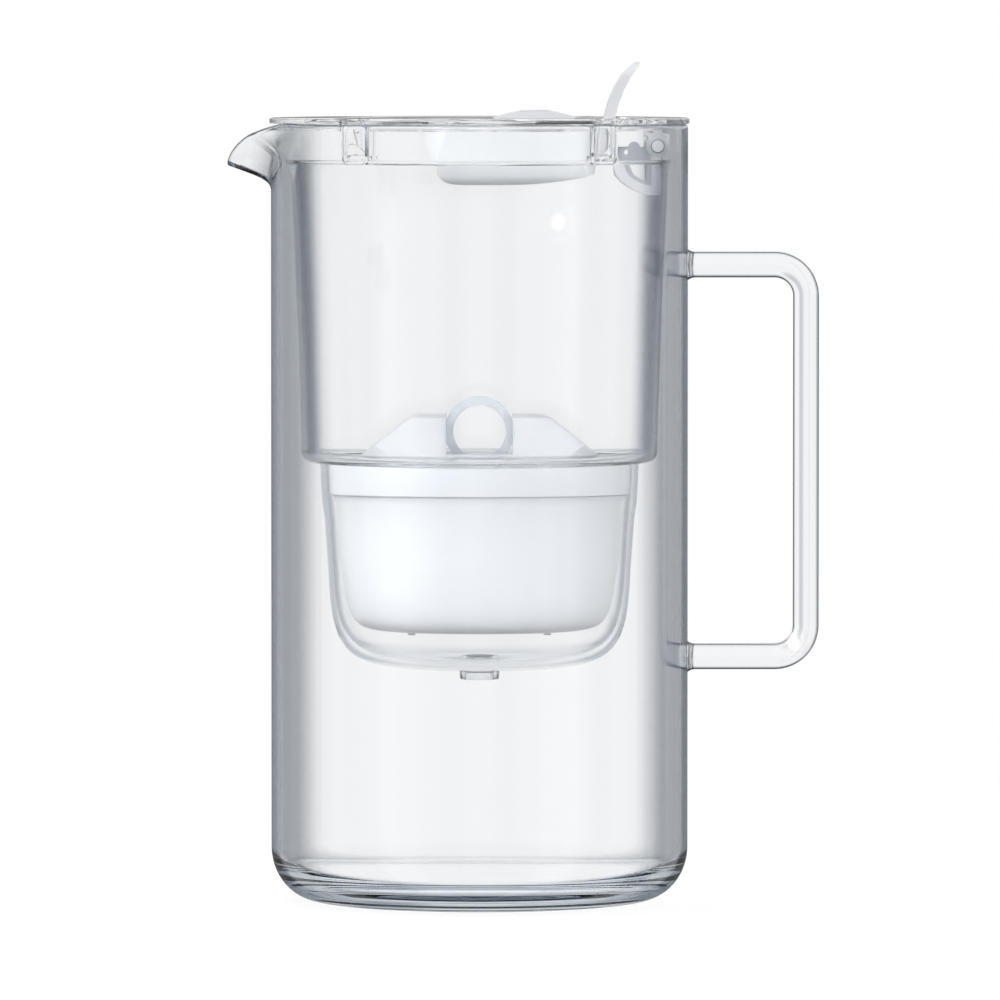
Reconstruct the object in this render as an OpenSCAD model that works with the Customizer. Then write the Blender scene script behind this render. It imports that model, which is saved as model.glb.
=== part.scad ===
// Water filter pitcher: a glass jug with a spout and a rod handle, a clear filling funnel that hangs
// on the rim, an oval filter cartridge in the funnel's cup, and a flat lid with a flip flap.
// Millimetres. The origin is the centre of the base, +Z is up, +X points to the handle.

/* [Jug] */
// Outer radius of the glass body
body_r = 71; // [66:0.5:76]
// Wall thickness of the glass
wall_t = 2.5; // [2:0.1:3.2]
// Height of the rim above the table
rim_z = 264.6; // [250:0.2:290]
// Thickness of the glass bottom
bottom_t = 8; // [5:0.5:11]
// Outer bottom corner, width and height of its quarter ellipse
corner_w = 16.1; // [10:0.1:20]
corner_h = 18.2; // [10:0.1:22]
// Radius of the fillet inside the bottom
floor_fillet_r = 10; // [6:0.5:14]

/* [Spout] */
// Reach of the spout's tip from the jug's axis
tip_reach = 86.1; // [80:0.1:92]
// Drop of the tip below the rim
tip_drop = 14.0; // [10:0.2:18]
// Half of the angle that the spout takes from the rim
spout_half_angle = 23.7; // [18:0.1:28]
// Height of the spout's throat below the rim
throat_drop = 22.8; // [18:0.2:28]

/* [Handle] */
// Radius of the glass rod
rod_r = 4.4; // [3.5:0.1:5.5]
// Distance of the grip from the jug's axis
grip_x = 111.3; // [100:0.1:125]
// Height of the upper bar
upper_bar_z = 216.6; // [190:0.2:230]
// Height of the lower bar
lower_bar_z = 82.9; // [60:0.2:110]
// Bend radius at the rod's centre line
bend_r = 10.7; // [8:0.1:20]

/* [Funnel] */
// Outer radius of the tank at the top and at the bottom
tank_top_r = 64.3; // [62:0.1:65]
tank_low_r = 60.7; // [59:0.1:62]
// Height of the tank's rim
tank_rim_z = 252.7; // [250:0.1:254]
// Height of the tank's underside
tank_floor_z = 149.5; // [140:0.1:160]
// Wall of the funnel
funnel_t = 1.6; // [1.4:0.1:2]
// Depth of the cups and cartridge across, as a share of their width
oval_ratio = 0.62; // [0.58:0.01:0.66]
// Angle of the four hooks off the front and the back
hook_angle = 38; // [34:0.5:42]

/* [Cartridge] */
// Half width of the cartridge's collar
collar_a = 51.4; // [50:0.1:51.6]
// Half width of the cartridge's body under the collar
cartridge_a = 48.6; // [46:0.1:49]
// Height of the cap's wings above the base
wing_top_z = 165.6; // [160:0.1:168]
// Radius of the finger ring's hole
ring_hole_r = 9; // [8:0.1:9.4]

/* [Lid and flap] */
// Radius of the lid
lid_r = 71.5; // [71.3:0.1:73]
// Thickness of the lid and of the flap
lid_t = 2; // [1.8:0.1:2.4]
// Half width of the flap
flap_half_w = 31; // [26:0.5:34]
// Reach of the flap towards the spout and towards the hinge
flap_front_x = -40; // [-46:0.5:-34]
flap_rear_x = 48; // [47:0.1:48.4]
// Place of the hinge axis
hinge_x = 60.2; // [60:0.1:60.4]
hinge_z = 257.3; // [257:0.1:257.6]
// Radius of the hinge pins
pin_r = 2.3; // [2:0.05:2.5]

/* [Indicator] */
// Centre of the indicator's dome and button
dome_x = 18.9; // [16:0.1:20]
// Radius of the dome
dome_r = 14.5; // [13:0.1:15]
// Height of the dome above the lid
dome_h = 2.7; // [2.2:0.1:3]
// Radius of the button
button_r = 6; // [5:0.1:6.2]

/* [Hidden] */
$fn = 64;

// Small overlap that makes cuts pass right through
eps = 0.01;

// ---------------------------------------------------------------- shapes used by several pieces

// Points of an ellipse's arc
function arc(cx, cy, rx, ry, from, to, n = 8) =
    [for (i = [0:n]) let (a = from + (to - from) * i / n) [cx + rx * cos(a), cy + ry * sin(a)]];

// Point of a cubic curve with four control points
function cubic(p, t) = pow(1 - t, 3) * p[0] + 3 * pow(1 - t, 2) * t * p[1]
    + 3 * (1 - t) * t * t * p[2] + t * t * t * p[3];

// Points along a cubic curve
function curve(p, n = 8) = [for (i = [0:n]) cubic(p, i / n)];

// A solid of revolution squeezed across, so that its sections are ovals; made in four quarters
module oval_turn(profile, ratio = oval_ratio, seam = 0) {
    for (quarter = [0:3])
        scale([1, ratio, 1]) rotate(seam + 90 * quarter) rotate_extrude(angle = 90) polygon(profile);
}

// A flat oval plate, given by its half width and its half depth
module oval_plate(a, b, z0, z1) {
    oval_turn([[0, z0], [a, z0], [a, z1], [0, z1]], b / a, 45);
}

// A rectangle with round corners, its centre at the origin
module round_rect(w, h, r) {
    square([w - 2 * r, h], center = true);
    square([w, h - 2 * r], center = true);
    for (x = [-1, 1], y = [-1, 1]) translate([x * (w / 2 - r), y * (h / 2 - r)]) circle(r = r);
}

// A slot with round ends that lies along X
module stadium(length, width) {
    square([length - width, width], center = true);
    for (x = [-1, 1]) translate([x * (length - width) / 2, 0]) circle(r = width / 2);
}

// Extrudes a shape drawn in X and Z along Y, half to each side
module across(width) {
    rotate([90, 0, 0]) linear_extrude(height = width, center = true) children();
}

// Extrudes a shape drawn in Y and Z along X, half to each side
module along(length) {
    rotate([90, 0, 90]) linear_extrude(height = length, center = true) children();
}

// A ring with flat ends
module tube(r_out, r_in, z0, z1) {
    difference() {
        translate([0, 0, z0]) cylinder(r = r_out, h = z1 - z0);
        translate([0, 0, z0 - 1]) cylinder(r = r_in, h = z1 - z0 + 2);
    }
}

// ---------------------------------------------------------------------------------- glass jug

inner_r = body_r - wall_t;
// The rim is fire-polished to a bead a little wider than the wall
bead_r = 1.4;
bead_mid_r = body_r - wall_t / 2 + 0.1;
bead_z = rim_z - bead_r;

// The spout's sheet starts inside the wall, so that the two solids fuse
spout_skin = 0.3;
spout_t = 2;
lip_t = 1.5;
spout_steps = 10;
section_steps = 8;

// Lip of the spout: from the tip, s = 0, to its root on the rim, s = 1
function lip_point(s) = cubic([
    [-tip_reach, 0, rim_z - tip_drop],
    [-tip_reach + 0.2, 6.5, rim_z - 9.3],
    [-tip_reach + 8.1, 17, rim_z],
    [-(body_r - spout_skin) * cos(spout_half_angle), (body_r - spout_skin) * sin(spout_half_angle),
        rim_z - 0.2]
], s);

// Foot of the spout on the wall, from the throat, s = 0, to the root
function foot_point(s) = let (a = spout_half_angle * s) [
    -(body_r - spout_skin) * cos(a), (body_r - spout_skin) * sin(a),
    rim_z - throat_drop + (throat_drop - 3) * pow(abs(s), 1.2)
];

// Outer surface of the spout: t runs from the foot to the lip
function spout_outer(s, t) = let (
    foot = foot_point(s),
    reach = lip_point(s) - foot,
    up = [0, 0, norm(reach)]
) cubic([foot, foot + 0.22 * up, foot + 0.33 * reach + 0.12 * up, foot + reach], t);

// Inner surface: the outer one moved inwards by the glass thickness
function spout_inner(s, t) = let (
    d = 0.01,
    ds = spout_outer(s + d, t) - spout_outer(s - d, t),
    dt = spout_outer(s, t + d) - spout_outer(s, t - d),
    n = cross(ds, dt)
) spout_outer(s, t) + n / norm(n) * (spout_t + (lip_t - spout_t) * t);

// Both halves of the spout: a negative step is the mirrored half
function both_halves(i, p) = [p.x, (i < 0 ? -1 : 1) * p.y, p.z];

module spout_sheet() {
    n = section_steps + 1;
    rows = 2 * spout_steps + 1;
    skin = rows * n;
    points = [
        for (i = [-spout_steps:spout_steps], j = [0:section_steps])
            both_halves(i, spout_outer(max(abs(i), eps) / spout_steps, j / section_steps)),
        for (i = [-spout_steps:spout_steps], j = [0:section_steps])
            both_halves(i, spout_inner(max(abs(i), eps) / spout_steps, j / section_steps))
    ];
    faces = [
        for (i = [0:rows - 2], j = [0:section_steps - 1], layer = [0, 1]) let (
            a = layer * skin + i * n + j, b = a + 1, c = b + n, d = a + n
        ) each layer == 0 ? [[a, c, b], [a, d, c]] : [[a, b, c], [a, c, d]],
        for (i = [0:rows - 2], edge = [0, section_steps]) let (
            a = i * n + edge, b = a + n, c = b + skin, d = a + skin
        ) each edge == 0 ? [[a, c, b], [a, d, c]] : [[a, b, c], [a, c, d]],
        for (j = [0:section_steps - 1], row = [0, rows - 1]) let (
            a = row * n + j, b = a + 1, c = b + skin, d = a + skin
        ) each row == 0 ? [[a, b, c], [a, c, d]] : [[a, c, b], [a, d, c]]
    ];
    polyhedron(points = points, faces = faces);
}

// The part of the wall that the spout opens, a little narrower than the spout's sheet
module spout_opening() {
    overlap = 1.2;
    narrower = 0.98;
    side = [for (i = [-spout_steps:spout_steps]) let (p = foot_point(abs(i) / spout_steps))
        [(i < 0 ? -1 : 1) * narrower * p.y, p.z + overlap]];
    translate([-body_r, 0, 0]) along(24)
        polygon(concat([[side[0].x, rim_z + 5]], side, [[-side[0].x, rim_z + 5]]));
}

module jug_wall() {
    rotate_extrude() polygon(concat(
        [[0, 0]],
        arc(body_r - corner_w, corner_h, corner_w, corner_h, -90, 0, 10),
        [[body_r, bead_z - 2]],
        arc(bead_mid_r, bead_z, bead_r, bead_r, 0, 180, 8),
        [[inner_r, bead_z - 2]],
        arc(inner_r - floor_fillet_r, bottom_t + floor_fillet_r, floor_fillet_r, floor_fillet_r, 0, -90, 8),
        [[0, bottom_t]]
    ));
}

module glass_jug() {
    color([0.82, 0.88, 0.92, 0.35]) union() {
        difference() {
            jug_wall();
            spout_opening();
        }
        spout_sheet();
    }
}

// -------------------------------------------------------------------------------- glass handle

// Collar of fused glass where a bar meets the wall
module weld_bead() {
    rotate([0, 90, 0]) rotate_extrude() polygon(concat(
        [[0, body_r - 3], [rod_r + 1, body_r - 3], [rod_r + 1, body_r + 0.4]],
        curve([[rod_r + 1, body_r + 0.4], [rod_r + 0.9, body_r + 1.3],
            [rod_r + 0.2, body_r + 1.5], [rod_r, body_r + 2.6]], 5),
        [[0, body_r + 2.6]]
    ));
}

module glass_handle() {
    bar_end = grip_x - bend_r;
    color([0.82, 0.88, 0.92, 0.45]) difference() {
        union() {
            for (z = [lower_bar_z, upper_bar_z]) translate([0, 0, z]) {
                translate([body_r - 3, 0, 0]) rotate([0, 90, 0])
                    cylinder(r = rod_r, h = bar_end - body_r + 3);
                weld_bead();
            }
            translate([grip_x, 0, lower_bar_z + bend_r])
                cylinder(r = rod_r, h = upper_bar_z - lower_bar_z - 2 * bend_r);
            translate([bar_end, 0, upper_bar_z - bend_r]) rotate([90, 0, 0])
                rotate_extrude(angle = 90) translate([bend_r, 0]) circle(r = rod_r);
            translate([bar_end, 0, lower_bar_z + bend_r]) mirror([0, 0, 1]) rotate([90, 0, 0])
                rotate_extrude(angle = 90) translate([bend_r, 0]) circle(r = rod_r);
        }
        translate([0, 0, lower_bar_z - 20]) cylinder(r = body_r, h = upper_bar_z - lower_bar_z + 40);
    }
}

// -------------------------------------------------------------------------------------- funnel

tank_floor_t = 1.8;
tank_corner_r = 3.5;
tank_mid_z = 204;
tank_mid_r = (tank_top_r + tank_low_r) / 2 - 0.3;

// The cup: its half width at the top, at the cartridge's seat and at the start of the round bottom
cup_top_a = 54.4;
cup_seat_a = 53.7;
cup_wall = 2;
seat_z = 138.6;
cup_turn_z = 112.7;
cup_bottom_z = 78.3;
nozzle_r = 6.9;
nozzle_z = 75.2;
nozzle_bore_r = 5;

// Sizes of a hook: strap on the inside of the glass, hook over the rim
strap_w = 10;
strap_t = 2.2;
strap_r = 67.8;
strap_foot_z = 251.4;
hook_w = 6.7;
hook_h = 1.5;
hook_angles = [90 - hook_angle, 90 + hook_angle, 270 - hook_angle, 270 + hook_angle];

module tank_outside() {
    rotate_extrude() polygon(concat(
        [[0, tank_floor_z]],
        arc(tank_low_r - tank_corner_r, tank_floor_z + tank_corner_r,
            tank_corner_r, tank_corner_r, -90, 0, 5),
        [[tank_low_r, 157], [tank_mid_r, tank_mid_z], [tank_top_r, 248], [tank_top_r + 0.2, 250.4],
            [tank_top_r + 1, 251.2], [tank_top_r + 1, tank_rim_z], [0, tank_rim_z]]
    ));
}

module tank_inside() {
    low_r = tank_low_r - funnel_t;
    corner = tank_corner_r - 1;
    rotate_extrude() polygon(concat(
        [[0, tank_floor_z + tank_floor_t]],
        arc(low_r - corner, tank_floor_z + tank_floor_t + corner, corner, corner, -90, 0, 4),
        [[low_r, 157], [tank_mid_r - funnel_t, tank_mid_z], [tank_top_r - funnel_t, 248],
            [tank_top_r - funnel_t + 0.1, tank_rim_z + 1], [0, tank_rim_z + 1]]
    ));
}

module cup_outside() {
    oval_turn(concat(
        [[0, tank_floor_z + 1], [cup_top_a, tank_floor_z + 1], [cup_seat_a, 136], [cup_seat_a - 0.9, 129.7]],
        curve([[cup_seat_a - 2.1, cup_turn_z], [49, 92.5], [46, 80.3], [20, cup_bottom_z + 0.3]], 9),
        [[0, cup_bottom_z]]
    ));
}

module cup_inside() {
    inner_ratio = (cup_top_a * oval_ratio - cup_wall) / (cup_top_a - cup_wall);
    oval_turn(concat(
        [[0, tank_floor_z + tank_floor_t + 1], [cup_top_a - cup_wall, tank_floor_z + tank_floor_t + 1],
            [cup_seat_a - 1.8, seat_z], [cup_seat_a - 3.5, seat_z]],
        curve([[cup_seat_a - 4.1, cup_turn_z], [46.9, 94], [43.6, 82.9], [18, cup_bottom_z + 2.6]], 9),
        [[0, cup_bottom_z + 2.4]]
    ), inner_ratio);
}

// One hook at the angle 0: a strap inside the glass with a round foot, and a flat hook over the rim
module hanger() {
    strap_h = rim_z - strap_foot_z + hook_h;
    difference() {
        intersection() {
            tube(strap_r, strap_r - strap_t, strap_foot_z, rim_z);
            translate([strap_r, 0, strap_foot_z + strap_h / 2]) along(20) round_rect(strap_w, strap_h, 2.4);
        }
        // Shallow panel in the strap's outer face
        translate([strap_r, 0, strap_foot_z + strap_h / 2]) along(1.2) round_rect(5.2, strap_h - 5, 1);
    }
    // Foot that joins the strap to the tank's rim
    intersection() {
        tube(strap_r - 0.8, tank_top_r - funnel_t + 0.1, strap_foot_z, tank_rim_z + 1.6);
        translate([tank_top_r, 0, tank_rim_z]) cube([14, strap_w - 2, 8], center = true);
    }
    intersection() {
        tube(body_r, strap_r - strap_t, rim_z, rim_z + hook_h);
        translate([strap_r, 0, rim_z]) cube([20, hook_w, 8], center = true);
    }
}

module funnel() {
    color([0.88, 0.92, 0.95, 0.4]) union() {
        difference() {
            union() {
                tank_outside();
                cup_outside();
                translate([0, 0, nozzle_z]) cylinder(r1 = nozzle_r - 0.3, r2 = nozzle_r, h = 5);
            }
            tank_inside();
            cup_inside();
            translate([0, 0, nozzle_z - 1]) cylinder(r = nozzle_bore_r, h = 8);
        }
        for (a = hook_angles) rotate(a) hanger();
    }
}

// ----------------------------------------------------------------------------------- cartridge

collar_top_z = 149;
cartridge_bottom_z = 91.3;
cartridge_wall = 1.6;
cartridge_floor_t = 1.8;
screen_t = 0.6;
foot_x = 23;
// The cartridge is a little slimmer across than the cup's opening
cartridge_ratio = oval_ratio - 0.015;

module cartridge_outside() {
    oval_turn(concat(
        [[0, collar_top_z], [collar_a, collar_top_z], [collar_a - 0.3, seat_z], [cartridge_a, seat_z],
            [cartridge_a - 1.2, 117.8]],
        curve([[cartridge_a - 3.4, 106], [cartridge_a - 5.6, 95.5], [cartridge_a - 8, 92.4],
            [30, cartridge_bottom_z + 0.2]], 6),
        [[0, cartridge_bottom_z]]
    ), cartridge_ratio);
}

module cartridge_inside(gap = 0) {
    a = cartridge_a - cartridge_wall - gap;
    floor_z = cartridge_bottom_z + cartridge_floor_t;
    oval_turn(concat(
        [[0, collar_top_z + 1 - gap], [a, collar_top_z + 1 - gap], [a - 0.2, seat_z], [a - 1.2, 117.8]],
        curve([[a - 3.3, 107], [a - 5.6, 97], [a - 8, 94.2], [27, floor_z + gap]], 6),
        [[0, floor_z + gap]]
    ), (cartridge_a * cartridge_ratio - cartridge_wall - gap) / a);
}

module cartridge_body() {
    color([0.95, 0.96, 0.97]) union() {
        difference() {
            cartridge_outside();
            cartridge_inside();
            // Outlet slots in the bottom
            for (x = [-12:6:12]) translate([x, 0, cartridge_bottom_z - 1])
                linear_extrude(height = 5) rotate(90) stadium(16, 1.6);
        }
        // Two feet under the bottom
        for (x = [-foot_x, foot_x]) translate([x - 1.3, -8, cartridge_bottom_z - 1])
            cube([2.6, 16, 1.6]);
    }
}

cap_flange_t = 1.6;
flange_a = collar_a - 0.2;
step_a = 43;
screen_x = 24;
screen_l = 20;
screen_w = 14;
valley_z = 152.5;
ring_z = 159.8;
ring_out_r = 11.9;
ring_w = 5;
wing_inner_x = 11.2;
cap_wall = 1.5;

// The wings' outline from the front and from the side; inset makes the hollow
module wing_block(inset) {
    top = wing_top_z - inset;
    intersection() {
        across(90) polygon([[-41 + 1.3 * inset, valley_z - 1.6], [-38.6 + 1.3 * inset, valley_z + 0.6],
            [-23.6 + 0.6 * inset, top - 0.8], [-21.4, top], [21.4, top],
            [23.6 - 0.6 * inset, top - 0.8], [38.6 - 1.3 * inset, valley_z + 0.6],
            [41 - 1.3 * inset, valley_z - 1.6]]);
        along(110) polygon([[-25 + inset, valley_z - 1.6], [-23.6 + inset, valley_z + 1.5],
            [-15 + 0.7 * inset, top - 0.7], [-13, top], [13, top], [15 - 0.7 * inset, top - 0.7],
            [23.6 - inset, valley_z + 1.5], [25 - inset, valley_z - 1.6]]);
    }
}

// Plan of the wings, which keeps their corners inside the cup
module wing_plan(inset) {
    a = flange_a - 0.5 - inset;
    oval_plate(a, a * cartridge_ratio, collar_top_z, wing_top_z + 1);
}

module cartridge_cap() {
    hollow_z = collar_top_z + cap_flange_t + 0.3;
    color([0.96, 0.97, 0.98, 0.8]) difference() {
        union() {
            oval_plate(flange_a, flange_a * cartridge_ratio, collar_top_z, collar_top_z + cap_flange_t);
            oval_plate(step_a, step_a * cartridge_ratio, collar_top_z, valley_z - 1.2);
            difference() {
                intersection() {
                    wing_block(0);
                    wing_plan(0);
                }
                translate([0, 0, valley_z + 20]) cube([2 * wing_inner_x, 80, 40], center = true);
            }
            // Finger ring between the wings
            intersection() {
                across(ring_w) translate([0, ring_z]) circle(r = ring_out_r);
                translate([-20, -20, valley_z - 1]) cube([40, 40, 30]);
            }
        }
        // Hollow under each wing
        for (side = [-1, 1]) intersection() {
            wing_block(cap_wall);
            wing_plan(cap_wall);
            translate([side * (wing_inner_x + cap_wall + 20), 0, hollow_z + 20])
                cube([40, 80, 40], center = true);
        }
        for (side = [-1, 1]) translate([side * screen_x, 0, collar_top_z - 1])
            linear_extrude(height = 4) stadium(screen_l, screen_w);
        // Hole of the ring
        intersection() {
            across(ring_w + 40) translate([0, ring_z]) circle(r = ring_hole_r);
            translate([-20, -30, valley_z]) cube([40, 60, 30]);
        }
        // Inlet slots in the wings' slopes
        for (side = [-1, 1], i = [-3:3]) translate([side * 32, 3.4 * i, wing_top_z - 8])
            rotate([0, side * 40, 0]) cube([11, 1.2, 8], center = true);
    }
}

// Fine screens under the inlet slots
module inlet_screens() {
    color([0.75, 0.77, 0.78]) for (side = [-1, 1])
        translate([side * screen_x, 0, collar_top_z + 0.1]) linear_extrude(height = screen_t)
            stadium(screen_l, screen_w);
}

module filter_media() {
    color([0.3, 0.32, 0.34]) difference() {
        cartridge_inside(0.15);
        translate([0, 0, collar_top_z - 2]) cylinder(r = 80, h = 10);
        translate([0, 0, cartridge_bottom_z]) cylinder(r = 80, h = cartridge_floor_t + screen_t);
    }
}

module outlet_screen() {
    color([0.75, 0.77, 0.78]) oval_plate(24, 14.6, cartridge_bottom_z + cartridge_floor_t,
        cartridge_bottom_z + cartridge_floor_t + screen_t);
}

// ----------------------------------------------------------------------------------------- lid

lid_z = rim_z;
lid_top_z = lid_z + lid_t;
plug_r = 67.5;
plug_t = 1.6;
plug_z = 262.4;
notch_w = 7.7;
flap_gap = 0.6;
opening_rear_x = 50.9;
ledge_w = 1.6;
ledge_t = 1.3;
ledge_rear_x = 30;
// Middle of the flap's round front end
flap_round_x = flap_front_x + flap_half_w;

// Outline of the flap: round in front, square with small round corners behind
module flap_outline(grow, rear_x) {
    corner = 4;
    w = 2 * (flap_half_w + grow);
    translate([flap_round_x, 0]) circle(r = flap_half_w + grow);
    translate([flap_round_x, -w / 2]) square([rear_x - flap_round_x - corner, w]);
    translate([rear_x - 2 * corner, 0]) round_rect(4 * corner, w, corner);
}

hinge_r = 3.85;
arm_in_y = 5.5;
arm_out_y = 7.7;
lug_in_y = 8;
lug_out_y = 10.5;
locating_tab_r = 68;

// One lug: straight sides and a round end about the hinge axis
module lug_outline() {
    translate([hinge_x, hinge_z]) circle(r = hinge_r);
    translate([hinge_x - hinge_r, hinge_z]) square([2 * hinge_r, lid_z - hinge_z + 0.5]);
}

module lid_disc() {
    color([0.9, 0.94, 0.96, 0.5]) difference() {
        union() {
            rotate_extrude() polygon([[0, lid_z], [lid_r - 0.4, lid_z], [lid_r, lid_z + 0.4],
                [lid_r, lid_top_z - 0.4], [lid_r - 0.4, lid_top_z], [0, lid_top_z]]);
            // Plug that centres the lid in the glass
            tube(plug_r, plug_r - plug_t, plug_z, lid_z + eps);
            // Ledge that carries the flap
            translate([0, 0, lid_z - ledge_t]) linear_extrude(height = ledge_t + eps) intersection() {
                flap_outline(3.2, opening_rear_x);
                translate([-100, -50]) square([100 + ledge_rear_x, 100]);
            }
            for (side = [-1, 1]) translate([0, side * (lug_in_y + lug_out_y) / 2, 0])
                across(lug_out_y - lug_in_y) lug_outline();
            // Tab that keeps the hinge at the handle's side
            intersection() {
                tube(locating_tab_r, locating_tab_r - 2, 255, lid_z + eps);
                translate([locating_tab_r, 0, 259.3]) along(20) round_rect(9, 14.6, 2);
            }
        }
        // Opening of the flap, and the smaller one inside its ledge
        translate([0, 0, lid_z]) linear_extrude(height = 10) flap_outline(flap_gap, opening_rear_x);
        translate([0, 0, lid_z - 10]) linear_extrude(height = 20) flap_outline(-ledge_w, opening_rear_x);
        translate([ledge_rear_x, -flap_half_w - flap_gap, lid_z - 2])
            cube([opening_rear_x - ledge_rear_x - 4, 2 * (flap_half_w + flap_gap), 3]);
        // Notch that lets the lever's arms and peg swing up between the lugs
        translate([opening_rear_x - 5, -lug_in_y, lid_z - 2])
            cube([hinge_x + 0.5 - opening_rear_x + 5, 2 * lug_in_y, lid_t + 4]);
        for (a = hook_angles) rotate(a) {
            translate([body_r, 0, 0]) cube([12, notch_w, 2 * lid_top_z + 10], center = true);
            translate([body_r, 0, lid_z - 5]) cube([14, strap_w + 1.2, 10], center = true);
        }
        translate([hinge_x, 0, hinge_z]) rotate([90, 0, 0]) cylinder(r = pin_r, h = 40, center = true);
    }
}

module hinge_pins() {
    color([0.85, 0.87, 0.89]) for (side = [-1, 1])
        translate([hinge_x, side * (lug_out_y + arm_in_y) / 2, hinge_z]) rotate([90, 0, 0])
            cylinder(r = pin_r, h = lug_out_y - arm_in_y, center = true);
}

// ---------------------------------------------------------------------------------------- flap

// The lever's stem fills a slot in the flap
stem_x = 42.2;
stem_l = 4;
lever_half_w = 8.3;
seat_hole_r = 7;

module flap_panel() {
    color([0.9, 0.94, 0.96, 0.5]) difference() {
        translate([0, 0, lid_z]) linear_extrude(height = lid_t) flap_outline(0, flap_rear_x);
        translate([dome_x, 0, lid_z - 1]) cylinder(r = seat_hole_r, h = lid_t + 2);
        translate([stem_x, -lever_half_w, lid_z - 1]) cube([stem_l, 2 * lever_half_w, lid_t + 2]);
    }
}

// Radii of the C-shaped arm about the hinge
arm_out_r = 16.8;
arm_in_r = 13.6;
// The spoke that leads from the band's end up to the pin, left and right of the axis
spoke_left = 2.05;
spoke_right = 1.15;
web_t = 1.2;
peg_at = [-7.5, -0.1];
peg_r = 1.7;

// Outline of one arm, about the hinge axis: a round band, a straight spoke and the eye for the pin
module arm_outline() {
    band_mid_r = (arm_in_r + arm_out_r) / 2;
    end_r = (spoke_left + spoke_right) / 2;
    difference() {
        union() {
            circle(r = hinge_r);
            difference() {
                circle(r = arm_out_r);
                circle(r = arm_in_r);
                translate([-40, 0]) square([80, 40]);
                translate([spoke_right - end_r, -40]) square([40, 40]);
            }
            translate([-spoke_left, -band_mid_r]) square([spoke_left + spoke_right, band_mid_r]);
            translate([spoke_right - end_r, -band_mid_r]) circle(r = end_r);
        }
        circle(r = pin_r + 0.07);
    }
}

// Thin web inside the arm, with a window between the band and the spoke
module web_outline() {
    difference() {
        intersection() {
            circle(r = arm_in_r + 0.5);
            translate([-40, -40]) square([40 - 0.5, 40]);
        }
        circle(r = pin_r + 0.5);
        difference() {
            circle(r = arm_in_r - 1.4);
            circle(r = 5);
            translate([-40, -7]) square([40, 50]);
            translate([-3.4, -40]) square([20, 50]);
        }
        translate([-10.2, -1.8]) circle(r = 0.9);
    }
}

// Points of the thumb lever's outline above the flap: front edge up, back edge down
lever_front = [[stem_x, lid_top_z - eps], [43.9, 272.7], [45.9, 277.4], [48.6, 281.7], [52.5, 285.3]];
lever_back = [[54.5, 285.6], [54.2, 284], [51.5, 280.6], [49.2, 276.2], [47.2, 271.2],
    [stem_x + stem_l, lid_top_z - eps]];

module thumb_lever() {
    color([0.97, 0.97, 0.98]) union() {
        for (side = [-1, 1]) translate([hinge_x, 0, hinge_z]) {
            translate([0, side * (arm_in_y + arm_out_y) / 2, 0]) across(arm_out_y - arm_in_y) arm_outline();
            translate([0, side * (arm_in_y + web_t / 2), 0]) across(web_t) web_outline();
        }
        // Peg that ties the two webs together
        translate([hinge_x + peg_at.x, 0, hinge_z + peg_at.y]) across(2 * arm_in_y + 1) circle(r = peg_r);
        // Stem: fills the flap's slot, and under it narrows to the arms
        translate([stem_x, -lever_half_w, lid_z]) cube([stem_l, 2 * lever_half_w, lid_t]);
        across(2 * arm_out_y) polygon([[stem_x, lid_z + eps], [stem_x + stem_l, lid_z + eps],
            [hinge_x - arm_in_r, hinge_z - eps], [hinge_x - arm_out_r, hinge_z - eps]]);
        // Thumb tab
        intersection() {
            across(2 * lever_half_w) polygon(concat(lever_front, lever_back));
            translate([48, 0, 0]) along(40) translate([0, 262]) round_rect(2 * lever_half_w, 47.2, 5);
        }
    }
}

// ------------------------------------------------------------------------------------ indicator

housing_front_x = -21;
housing_rear_x = 41.4;
housing_top_z = 263.8;
housing_low_z = 244.2;
housing_half_w = 14;
housing_wall = 1.6;
button_gap = 0.15;
board_z = 259;
board_t = 1.2;
boss_x = [-6, 32];
cell_x = 12;
cell_r = 10;
cell_t = 3.2;
cell_z = 253;

// Boat shape: side outline, end outline and plan, each smaller by the inset
module housing_block(inset, top) {
    front = housing_front_x + inset;
    rear = housing_rear_x - inset;
    low = housing_low_z + inset;
    half = housing_half_w - inset;
    intersection() {
        across(60) polygon(concat(
            [[front, top], [front + 4.6, 251.8]],
            curve([[front + 6.6, 248.4], [front + 8.6, low + 0.5], [front + 10.5, low + 0.3],
                [front + 16, low]], 5),
            curve([[7 + inset, low], [rear - 20, low], [rear - 8, low + 2], [rear - 2.6, low + 4]], 6),
            [[rear - 0.6, low + 6.6], [rear, 252.8], [rear, top]]
        ));
        along(120) polygon(concat(
            [[-half, top]],
            arc(-half + 8.4, low + 8, 7, 8, 180, 270, 5),
            arc(half - 8.4, low + 8, 7, 8, 270, 360, 5),
            [[half, top]]
        ));
        translate([(front + rear) / 2, 0, 230]) linear_extrude(height = 50)
            round_rect(rear - front, 2 * half, half - 1);
    }
}

module indicator_housing() {
    color([0.97, 0.97, 0.98]) difference() {
        union() {
            difference() {
                housing_block(0, housing_top_z);
                housing_block(housing_wall, housing_top_z + 2);
            }
            // Bosses that carry the board
            for (x = boss_x) translate([x, 0, housing_low_z + 0.6])
                cylinder(r = 2.6, h = board_z - housing_low_z - 0.6);
        }
        for (x = boss_x) translate([x, 0, board_z - 6]) cylinder(r = 0.9, h = 8);
    }
}

// Gasket between the housing and the flap
module housing_seal() {
    color([0.7, 0.72, 0.74]) translate([0, 0, housing_top_z]) linear_extrude(height = lid_z - housing_top_z)
        translate([(housing_front_x + housing_rear_x) / 2, 0]) difference() {
            round_rect(housing_rear_x - housing_front_x - 0.4, 2 * housing_half_w - 0.4,
                housing_half_w - 1.4);
            round_rect(housing_rear_x - housing_front_x - 2.8, 2 * housing_half_w - 2.8,
                housing_half_w - 2.4);
        }
}

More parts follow.
